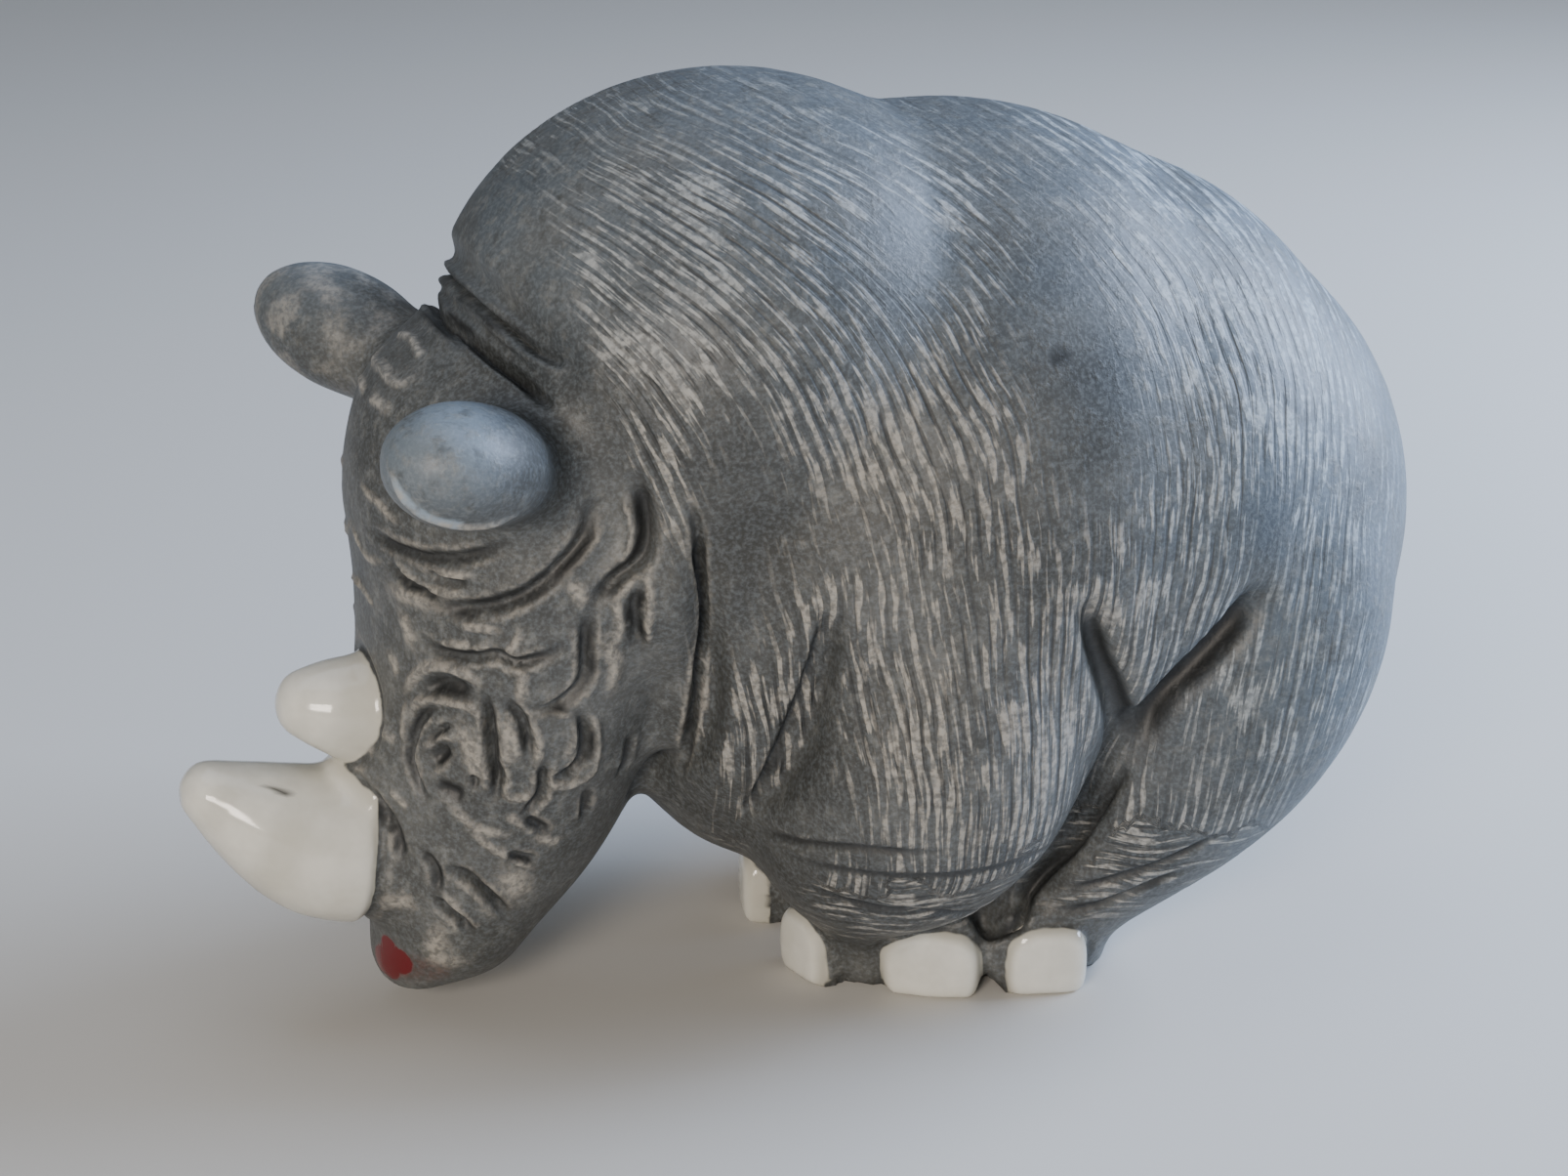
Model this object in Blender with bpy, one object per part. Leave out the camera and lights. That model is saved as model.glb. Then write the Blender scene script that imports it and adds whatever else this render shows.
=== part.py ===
"""Rhinoceros figurine: one solid of glazed fired clay, standing on four feet with its head hung low.

The animal faces -X with its left flank towards -Y, and its soles are on z = 0. The form is built the way
a modeller in clay builds it: broad lumps and limbs are pressed together and smoothed, ears, horns, toes
and a tail are added, and then the folds are pressed in. Both flanks are alike.

Places and sizes of the form are in units of a 115th of the figure's length, from nose horn to rump.
"""

import math

import bmesh
import bpy
import numpy as np
from mathutils import Matrix, Vector

# The one driving dimension, in metres
FIGURE_LENGTH = 0.1135

# The form is laid out in units, this many to the figure's length
UNITS_LONG = 113.5

# Grain of the clay in the two stages of pressing together, in units, and passes of smoothing
FLESH_GRAIN = 0.95
FLESH_SMOOTHING = 26
FINE_GRAIN = 0.62
FINE_SMOOTHING = 2

# Triangles in the finished mesh, and how far from the ground thinning may leave the edge of a sole
TRIANGLES = 9200
SOLE_LEVELLING = 0.03

# Dull slate-grey glaze
GLAZE_COLOUR = (0.13, 0.13, 0.135)
GLAZE_ROUGHNESS = 0.55

SIDES = (-1.0, 1.0)

# Lumps on the middle plane: centre x and z, radii along, across and up, and pitch in degrees
BODY_LUMPS = {
    "barrel": ((13.8, 43.9), (33.5, 30.0, 33.0), 7.0),
    "loin": ((26.0, 44.3), (27.0, 28.5, 27.6), 0.0),
    "rump": ((33.9, 39.5), (24.0, 26.0, 26.0), 0.0),
    "hump": ((-5.6, 58.4), (25.2, 25.0, 22.4), -4.0),
    "neck": ((-13.0, 44.5), (16.0, 21.5, 14.0), -30.0),
    "chest": ((-3.0, 30.0), (13.8, 18.5, 19.5), 0.0),
    "nose_bridge": ((-37.2, 23.6), (4.4, 6.0, 3.4), 0.0),
    "lip": ((-34.3, 5.4), (4.6, 6.5, 3.7), -20.0),
}

# Lumps on both sides: centre, radii along, across and up
PAIRED_LUMPS = {
    "throat": ((-8.5, 8.0, 35.0), (8.0, 12.0, 17.0)),
    "ear_root": ((-28.4, 14.2, 53.0), (5.6, 6.6, 4.7)),
}

# Limbs: stations of x, y, z, radius across the animal and radius the other way
HEAD = (
    (-23.5, 0.0, 51.5, 17.5, 14.5),
    (-24.0, 0.0, 46.0, 18.5, 14.8),
    (-24.5, 0.0, 38.0, 18.0, 13.5),
    (-25.5, 0.0, 29.0, 16.0, 13.0),
    (-28.0, 0.0, 20.0, 13.0, 12.3),
    (-30.3, 0.0, 12.5, 10.6, 9.5),
    (-31.3, 0.0, 8.2, 8.8, 7.0),
)
FRONT_LEG = (
    (10.0, 17.0, 50.0, 9.0, 9.0),
    (8.5, 18.5, 38.0, 11.0, 11.0),
    (7.0, 17.5, 26.5, 12.8, 13.8),
    (5.6, 13.5, 18.5, 11.8, 13.4),
    (5.6, 9.8, 12.5, 10.0, 10.8),
    (6.8, 8.2, 6.0, 6.3, 6.5),
    (7.4, 7.8, -1.0, 4.7, 4.9),
)
HIND_LEG = (
    (36.5, 13.0, 45.0, 11.0, 12.5),
    (37.8, 14.5, 34.5, 12.3, 13.5),
    (35.2, 14.5, 26.0, 12.3, 13.0),
    (30.0, 13.0, 18.5, 11.5, 11.6),
    (25.0, 11.2, 12.0, 9.6, 9.2),
    (21.0, 10.0, 6.0, 7.4, 7.3),
    (19.6, 9.9, -1.0, 6.9, 6.8),
)
NOSE_HORN = (
    (-37.0, 0.0, 16.0, 7.1, 7.1),
    (-42.5, 0.0, 16.8, 6.9, 6.5),
    (-47.5, 0.0, 19.6, 5.6, 4.8),
    (-52.0, 0.0, 22.8, 3.0, 2.5),
)
BROW_HORN = (
    (-34.5, 0.0, 28.2, 3.7, 3.6),
    (-38.0, 0.0, 28.4, 4.4, 4.1),
    (-41.2, 0.0, 29.0, 4.2, 3.8),
    (-43.4, 0.0, 29.5, 3.1, 2.8),
)
TAIL = (
    (52.5, 0.0, 50.0, 2.2, 2.2),
    (56.2, 0.0, 44.5, 1.9, 1.9),
    (57.4, 0.0, 38.0, 1.7, 1.7),
    (57.0, 0.0, 32.0, 2.3, 1.9),
)
LIMB_SIDES = 36
LIMB_STEPS = 5
LIMB_END_RINGS = (80.0, 60.0, 40.0, 20.0)
LIMB_END_BULGE = 0.7

# Ears: the way from the root to the tip, how far along it the middle is, and radii along, across, through
EAR_REACH = (-9.8, 12.2, 5.0)
EAR_MIDDLE = 0.55
EAR_RADII = (9.6, 6.6, 5.4)

# Toenails: where each stands, the way it faces in degrees from straight ahead, and its half width
NAILS = {
    "fore_inner": ((0.4, 7.0), 15.0, 3.8),
    "fore_outer": ((9.0, 13.6), 62.0, 4.6),
    "hind_outer": ((18.3, 16.4), 76.0, 4.2),
}
NAIL_MIDDLE = 3.2
NAIL_HALF_HEIGHT = 4.2
NAIL_HALF_DEPTH = 1.9
NAIL_SQUARENESS = 4
TOE_RADIUS = 4.1
TOE_HALF_HEIGHT = 5.5
TOE_SETBACK = 3.7

# Folds pressed into each flank, as x and z seen from the side, each with its half width and depth
FLANK_FOLDS = {
    "jowl": (((-15.0, 47.5), (-13.9, 41.0), (-13.2, 34.0), (-13.5, 28.0), (-14.6, 23.5), (-16.6, 19.5)), 0.85, 2.5),
    "breast": (((-4.7, 41.0), (-5.2, 36.5), (-5.8, 32.0), (-6.9, 26.5), (-8.6, 20.0)), 0.8, 2.2),
    "elbow": (((15.2, 41.5), (18.0, 35.0), (20.6, 29.5), (21.8, 24.5), (19.6, 15.5), (16.4, 8.5)), 1.3, 2.6),
    "thigh": (((33.2, 39.3), (28.9, 34.0), (25.0, 29.8), (22.4, 25.0)), 1.3, 2.3),
}
FLANK_INSIDE = 6.0
FLANK_FACING = 1.6

# Folds that run over the neck behind the ears, given the same way
NECK_FOLDS = {
    "fore": (((-32.4, 66.5), (-28.9, 62.2), (-25.4, 58.6)), 0.65, 1.7),
    "aft": (((-29.4, 67.6), (-26.8, 64.3), (-23.4, 60.4)), 0.65, 1.8),
}
NECK_BOTTOM = 55.0
FOLD_STEPS = 6
FOLD_FADE = 0.16


def remove_everything():
    """Clears the scene, so that the file runs the same from any start."""
    for obj in list(bpy.data.objects):
        bpy.data.objects.remove(obj)


def add_lump(bm, centre, radii, turn=None):
    """An egg of clay: a ball with three radii, turned."""
    place = Matrix.Translation(Vector(centre)) @ (turn or Matrix.Identity(4)) @ Matrix.Diagonal((*radii, 1.0))
    return bmesh.ops.create_icosphere(bm, subdivisions=4, radius=1.0, matrix=place)["verts"]


def smooth_path(points, steps):
    """Points along a Catmull-Rom curve through the given ones, which may have any number of values each."""
    knots = [np.asarray(p, float) for p in points]
    knots = [2 * knots[0] - knots[1], *knots, 2 * knots[-1] - knots[-2]]
    path = []
    for a, b, c, d in zip(knots, knots[1:], knots[2:], knots[3:]):
        for t in np.arange(steps) / steps:
            square = 2 * a - 5 * b + 4 * c - d
            cube = 3 * b - a - 3 * c + d
            path.append(0.5 * (2 * b + (c - a) * t + square * t**2 + cube * t**3))
    path.append(knots[-2])
    return np.array(path)


def end_ring(centre, radius, tangent, way, degrees):
    """One ring of a limb's round end: way is -1 at its first end and 1 at its last."""
    angle = math.radians(degrees)
    reach = radius.mean() * math.sin(angle) * LIMB_END_BULGE
    return centre + way * tangent * reach, radius * math.cos(angle), tangent


def add_limb(bm, stations, side=1.0):
    """A closed tube with round ends through its stations, on one side of the animal."""
    path = smooth_path([(x, side * y, z, across, other) for x, y, z, across, other in stations], LIMB_STEPS)
    centres, radii = path[:, :3], path[:, 3:]
    tangents = np.gradient(centres, axis=0)
    tangents /= np.linalg.norm(tangents, axis=1)[:, None]
    spans = list(zip(centres, radii, tangents))
    first = [end_ring(*spans[0], -1.0, degrees) for degrees in LIMB_END_RINGS]
    last = [end_ring(*spans[-1], 1.0, degrees) for degrees in reversed(LIMB_END_RINGS)]
    turns = [2 * math.pi * k / LIMB_SIDES for k in range(LIMB_SIDES)]
    rings = []
    for centre, radius, tangent in [*first, *spans, *last]:
        across = np.array((0.0, 1.0, 0.0)) - tangent * tangent[1]
        across /= np.linalg.norm(across)
        other = np.cross(tangent, across)
        rings.append(
            [bm.verts.new(centre + across * radius[0] * math.cos(a) + other * radius[1] * math.sin(a)) for a in turns]
        )
    for low, high in zip(rings, rings[1:]):
        for k in range(LIMB_SIDES):
            j = (k + 1) % LIMB_SIDES
            bm.faces.new((low[k], low[j], high[j], high[k]))
    bm.faces.new(list(reversed(rings[0])))
    bm.faces.new(rings[-1])


def add_ears(bm):
    """Two thick oval ears, wider than they are thick, held out sideways and a little forwards."""
    (x, y, z), _ = PAIRED_LUMPS["ear_root"]
    for side in SIDES:
        reach = Vector((EAR_REACH[0], side * EAR_REACH[1], EAR_REACH[2]))
        middle = Vector((x, side * y, z)) + reach * EAR_MIDDLE
        add_lump(bm, middle, EAR_RADII, reach.to_track_quat("X", "Z").to_matrix().to_4x4())


def add_flesh(bm):
    """The body, head, ears and legs as separate lumps and limbs, still to be pressed together."""
    for (x, z), radii, pitch in BODY_LUMPS.values():
        add_lump(bm, (x, 0.0, z), radii, Matrix.Rotation(math.radians(pitch), 4, "Y"))
    add_limb(bm, HEAD)
    add_ears(bm)
    for side in SIDES:
        for (x, y, z), radii in PAIRED_LUMPS.values():
            add_lump(bm, (x, side * y, z), radii)
        add_limb(bm, FRONT_LEG, side)
        add_limb(bm, HIND_LEG, side)


def add_nail(bm, place, half_width):
    """A toenail: a rounded slab that stands out a little from its toe."""
    place = place @ Matrix.Diagonal((NAIL_HALF_DEPTH, half_width, NAIL_HALF_HEIGHT, 1.0))
    for vert in add_lump(bm, (0.0, 0.0, 0.0), (1.0, 1.0, 1.0)):
        roundness = sum(abs(c) ** NAIL_SQUARENESS for c in vert.co) ** (1.0 / NAIL_SQUARENESS)
        vert.co = place @ (vert.co / roundness)


def add_toes(bm):
    """The toes with their nails: two on each front foot and one on each hind foot."""
    for (x, y), heading, half_width in NAILS.values():
        for side in SIDES:
            turn = Matrix.Rotation(side * math.radians(180.0 - heading), 4, "Z")
            place = Matrix.Translation((x, side * y, NAIL_MIDDLE)) @ turn
            add_nail(bm, place, half_width)
            add_lump(bm, place @ Vector((-TOE_SETBACK, 0.0, 0.0)), (TOE_RADIUS, TOE_RADIUS, TOE_HALF_HEIGHT))


def object_of(bm, name):
    """A scene object from a bmesh, with all its faces pointing out."""
    bmesh.ops.recalc_face_normals(bm, faces=bm.faces)
    mesh = bpy.data.meshes.new(name)
    bm.to_mesh(mesh)
    bm.free()
    obj = bpy.data.objects.new(name, mesh)
    bpy.context.scene.collection.objects.link(obj)
    return obj


def mesh_after_modifiers(obj):
    """The object's mesh with its modifiers worked into it."""
    evaluated = obj.evaluated_get(bpy.context.evaluated_depsgraph_get())
    return bpy.data.meshes.new_from_object(evaluated)


def pressed_together(bm, grain, smoothing):
    """The lumps of a bmesh as one smoothed body, in a new bmesh."""
    obj = object_of(bm, "lumps")
    remesh = obj.modifiers.new("press_together", "REMESH")
    remesh.mode = "VOXEL"
    remesh.voxel_size = grain
    smooth = obj.modifiers.new("smooth", "SMOOTH")
    smooth.factor = 0.5
    smooth.iterations = smoothing
    body = bmesh.new()
    body.from_mesh(mesh_after_modifiers(obj))
    bpy.data.objects.remove(obj)
    return body


def polyline_distance(points, path):
    """Distance of each point from a polyline, and how far along it the nearest place is, from 0 to 1."""
    best = np.full(len(points), np.inf)
    along = np.zeros(len(points))
    lengths = np.linalg.norm(np.diff(path, axis=0), axis=1)
    starts = np.concatenate([[0.0], np.cumsum(lengths)])
    for a, b, start, length in zip(path, path[1:], starts, lengths):
        step = b - a
        t = np.clip((points - a) @ step / (step @ step), 0.0, 1.0)
        gap = np.linalg.norm(points - a - t[:, None] * step, axis=1)
        nearer = gap < best
        best[nearer] = gap[nearer]
        along[nearer] = (start + t[nearer] * length) / starts[-1]
    return best, along


def press_folds(bm):
    """Presses the folds into the surface: those of the flanks on the sides only, those of the neck all round."""
    bm.normal_update()
    points = np.array([v.co for v in bm.verts])
    normals = np.array([v.normal for v in bm.verts])
    on_flank = np.clip(np.abs(normals[:, 1]) * FLANK_FACING, 0.0, 1.0) * (np.abs(points[:, 1]) > FLANK_INSIDE)
    on_neck = points[:, 2] > NECK_BOTTOM
    sunk = np.zeros(len(points))
    for folds, where in ((FLANK_FOLDS, on_flank), (NECK_FOLDS, on_neck)):
        for path, half_width, depth in folds.values():
            gap, along = polyline_distance(points[:, [0, 2]], smooth_path(path, FOLD_STEPS))
            ends = np.sqrt(np.clip(np.minimum(along, 1.0 - along) / FOLD_FADE, 0.0, 1.0))
            sunk = np.maximum(sunk, depth * ends * np.exp(-((gap / half_width) ** 2)) * where)
    for vert, depth, normal in zip(bm.verts, sunk, normals):
        vert.co -= Vector(normal) * depth


def cut_soles(bm):
    """Cuts the feet flat on the ground."""
    everything = [*bm.verts, *bm.edges, *bm.faces]
    bmesh.ops.bisect_plane(bm, geom=everything, plane_co=(0, 0, 0), plane_no=(0, 0, -1), clear_outer=True)
    bmesh.ops.holes_fill(bm, edges=[edge for edge in bm.edges if edge.is_boundary])


def thinned(bm, name):
    """The finished body as an object with the number of triangles that it may have, its soles level."""
    bmesh.ops.triangulate(bm, faces=bm.faces)
    faces = len(bm.faces)
    dense = object_of(bm, "dense")
    thin = dense.modifiers.new("thin", "DECIMATE")
    thin.ratio = TRIANGLES / faces
    obj = bpy.data.objects.new(name, mesh_after_modifiers(dense))
    bpy.context.scene.collection.objects.link(obj)
    bpy.data.objects.remove(dense)
    for vert in obj.data.vertices:
        if vert.co.z < SOLE_LEVELLING:
            vert.co.z = 0.0
    return obj


def bring_to_size(obj):
    """Puts the origin under the middle of the figure and turns units into metres."""
    corners = np.array(obj.bound_box)
    middle = (corners.min(axis=0) + corners.max(axis=0)) / 2
    centred = Matrix.Translation((-middle[0], -middle[1], 0.0))
    obj.data.transform(Matrix.Scale(FIGURE_LENGTH / UNITS_LONG, 4) @ centred)


def glaze(obj):
    """Gives the figure its dull slate-grey glaze."""
    material = bpy.data.materials.new("slate_grey_glaze")
    material.use_nodes = True
    shader = material.node_tree.nodes["Principled BSDF"]
    shader.inputs["Base Color"].default_value = (*GLAZE_COLOUR, 1.0)
    shader.inputs["Roughness"].default_value = GLAZE_ROUGHNESS
    shader.inputs["Metallic"].default_value = 0.0
    obj.data.materials.append(material)
    obj.data.shade_smooth()


def main():
    """Builds the figurine."""
    remove_everything()
    lumps = bmesh.new()
    add_flesh(lumps)
    body = pressed_together(lumps, FLESH_GRAIN, FLESH_SMOOTHING)
    add_limb(body, NOSE_HORN)
    add_limb(body, BROW_HORN)
    add_limb(body, TAIL)
    add_toes(body)
    body = pressed_together(body, FINE_GRAIN, FINE_SMOOTHING)
    press_folds(body)
    cut_soles(body)
    figure = thinned(body, "rhinoceros")
    bring_to_size(figure)
    glaze(figure)


main()
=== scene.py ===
"""Looks of a small rhinoceros figurine, cast in earthenware and glazed by hand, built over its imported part.

The figurine is one piece: the part's own solid, refined, with the modeller's folds, wrinkles and comb
lines pressed into it, and slate, ivory and red glazes painted on by area. Lengths in this file are in
millimetres unless a name says otherwise, in the part's own frame: -X is the head and -Y the left flank.
"""

import logging
import math
from dataclasses import dataclass, field
from enum import Enum
from typing import Any

import bpy
import numpy as np
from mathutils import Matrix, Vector
from mathutils.kdtree import KDTree

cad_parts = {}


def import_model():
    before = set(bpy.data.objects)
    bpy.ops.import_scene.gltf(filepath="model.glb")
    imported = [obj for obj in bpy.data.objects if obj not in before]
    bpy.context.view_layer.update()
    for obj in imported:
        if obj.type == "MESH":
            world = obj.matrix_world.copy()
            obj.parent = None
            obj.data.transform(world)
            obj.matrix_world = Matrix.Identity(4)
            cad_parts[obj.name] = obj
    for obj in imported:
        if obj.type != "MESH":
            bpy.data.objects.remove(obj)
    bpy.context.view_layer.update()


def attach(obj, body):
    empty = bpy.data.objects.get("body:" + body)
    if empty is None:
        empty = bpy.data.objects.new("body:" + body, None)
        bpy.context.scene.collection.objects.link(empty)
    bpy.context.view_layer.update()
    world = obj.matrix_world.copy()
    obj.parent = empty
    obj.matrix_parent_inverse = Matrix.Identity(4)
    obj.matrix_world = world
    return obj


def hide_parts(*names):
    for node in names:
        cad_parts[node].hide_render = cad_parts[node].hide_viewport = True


LOG = logging.getLogger("rhinoceros_figurine")

MM = 0.001
NODE = "rhinoceros"
PIECE = "rhinoceros_clay"
SIDES = (-1.0, 1.0)

Point = tuple[float, float, float]
Path = tuple[float, ...]
Array = np.ndarray
Piece = bpy.types.Object
Tree = bpy.types.NodeTree


class Tool(Enum):
    """How the modeller's tool left a mark in the clay."""

    GROOVE = "groove"
    RIDGE = "ridge"


@dataclass(frozen=True)
class Mark:
    """One stroke of the modelling tool.

    Args:
        tool: Whether it cut in or left a ridge standing.
        half_width: Half the stroke's width.
        depth: How far it goes in, or stands out.
        path: X, Y and Z of each point that it runs through, on the left side.
    """

    tool: Tool
    half_width: float
    depth: float
    path: Path


G, R = Tool.GROOVE, Tool.RIDGE

# Jowl, elbow and thigh gashes, neck slits, rings round the ankles and the rims of ear and face, whose pale stain is
# also a painted highlight
FOLDS = (
    Mark(G, 0.42, 0.8, (
        -17.9, -20.6, 50.6, -17.4, -20.7, 47.6, -16.7, -18.8, 42.8, -15.9, -16.4, 35, -16, -14.5, 29,
        -16, -10.7, 23.1,
    )),
    Mark(G, 0.5, 0.6, (
        -7.7, -23.8, 40.7, -7.9, -22.5, 37.2, -8.4, -21.1, 33.5, -9.2, -19.5, 29.6, -10.2, -18, 25.6,
        -10.9, -14.6, 20.9,
    )),
    Mark(G, 1.0, 0.3, (13.3, -28.6, 40.7, 15.3, -26.4, 36.2, 17.7, -25.1, 31.9, 20.7, -22.5, 26.6, 21.2, -22.6, 24.1)),
    Mark(G, 1.35, 0.7, (30.2, -25.4, 38.8, 28, -24.9, 35.6, 25.2, -24.1, 32.1, 22.5, -23.3, 28.9, 21.3, -22.7, 24.5)),
    Mark(G, 0.6, 0.8, (
        20.7, -21.4, 22, 19.9, -19.5, 18.6, 18.5, -17.6, 14.4, 16.6, -15.8, 11.2, 14.8, -15.3, 8.8, 13, -16.8, 6.9,
        11.6, -13.3, 2.6,
    )),
    Mark(G, 0.45, 1.0, (
        -33, 6, 61.9, -33.1, 0.5, 62.3, -32.3, -4.6, 62, -30.9, -9.3, 60.8, -29.3, -12.2, 59.5, -28, -15.4, 58.3,
    )),
    Mark(G, 0.45, 1.0, (
        -31.6, 6, 64.2, -31.8, 0.5, 64.5, -31.6, -4.1, 64.4, -30.4, -9.5, 63.6, -28.4, -12.9, 62.3,
        -26.7, -14.5, 61.4,
    )),
    Mark(G, 0.4, 0.12, (-9.2, -17.6, 17.5, -5.3, -23.6, 17.7, 1.2, -27.1, 17.7, 8.4, -26.8, 17.8, 14.5, -23, 17)),
    Mark(G, 0.4, 0.22, (-10.1, -15.3, 18.7, -5.7, -24.5, 20.3, 0.6, -28.3, 20.5)),
    Mark(G, 0.45, 0.3, (-7.2, -19.4, 14.7, -2.3, -22.7, 13.4, 2.7, -23.5, 12.6, 9, -20, 10.5)),
    Mark(G, 0.4, 0.3, (16.9, -16.4, 9.9, 20.6, -20.5, 11.5, 25, -22.7, 13.7, 30, -23, 17.5)),
    Mark(G, 0.4, 0.3, (16.1, -16.1, 7.7, 20.3, -19.3, 8.7, 24, -21.2, 10.8, 28, -20.5, 14)),
    # Ridge along the near ear's rim: its pale stain is also a painted highlight
    Mark(R, 0.45, 0.3, (
        -43.2, -25.3, 57.3, -42.8, -25.7, 55.9, -41.7, -25.9, 54.5, -39.9, -26, 53.4, -38.1, -25.9, 52.8,
        -36.1, -25.7, 52.5, -33.5, -24.9, 52.7,
    )),
    # Ridge on the face's rim: its pale stain is also a painted highlight
    Mark(R, 0.4, 0.1, (-40.7, -3.1, 49.1, -40.1, -6.4, 48.6, -39.2, -8.9, 47.7)),
    Mark(G, 0.5, 0.4, (-40.4, -5.3, 45.7, -38.3, -10.8, 45.4, -35.3, -14.7, 46.1, -32.4, -16.9, 47.5)),
)

# Lines where the solid's own folds are rubbed soft before they are cut again
SOFTENED = (
    FOLDS[0].path,
    (-6.9, -21.8, 29.5, -7, -20.6, 25),
    (29.9, -25.2, 39.1, 27.7, -24.7, 35.9, 24.9, -23.9, 32.4, 23.2, -23.4, 30.2),
    (-33, 4, 62, -32.3, -4.6, 62, -30.9, -9.3, 60.8, -29.3, -12.2, 59.5, -28, -15.4, 58.3),
    (-31.7, 4.2, 64.3, -31.6, -4.1, 64.4, -30.4, -9.5, 63.6, -28.4, -12.9, 62.3, -26.7, -14.5, 61.4),
    (-37, -7.4, 56.9, -34.6, -9.7, 58, -31.9, -12.5, 58.2, -29.7, -16.8, 57.6, -28.2, -18.3, 55.9, -28.2, -19.6, 53.8),
)

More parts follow.
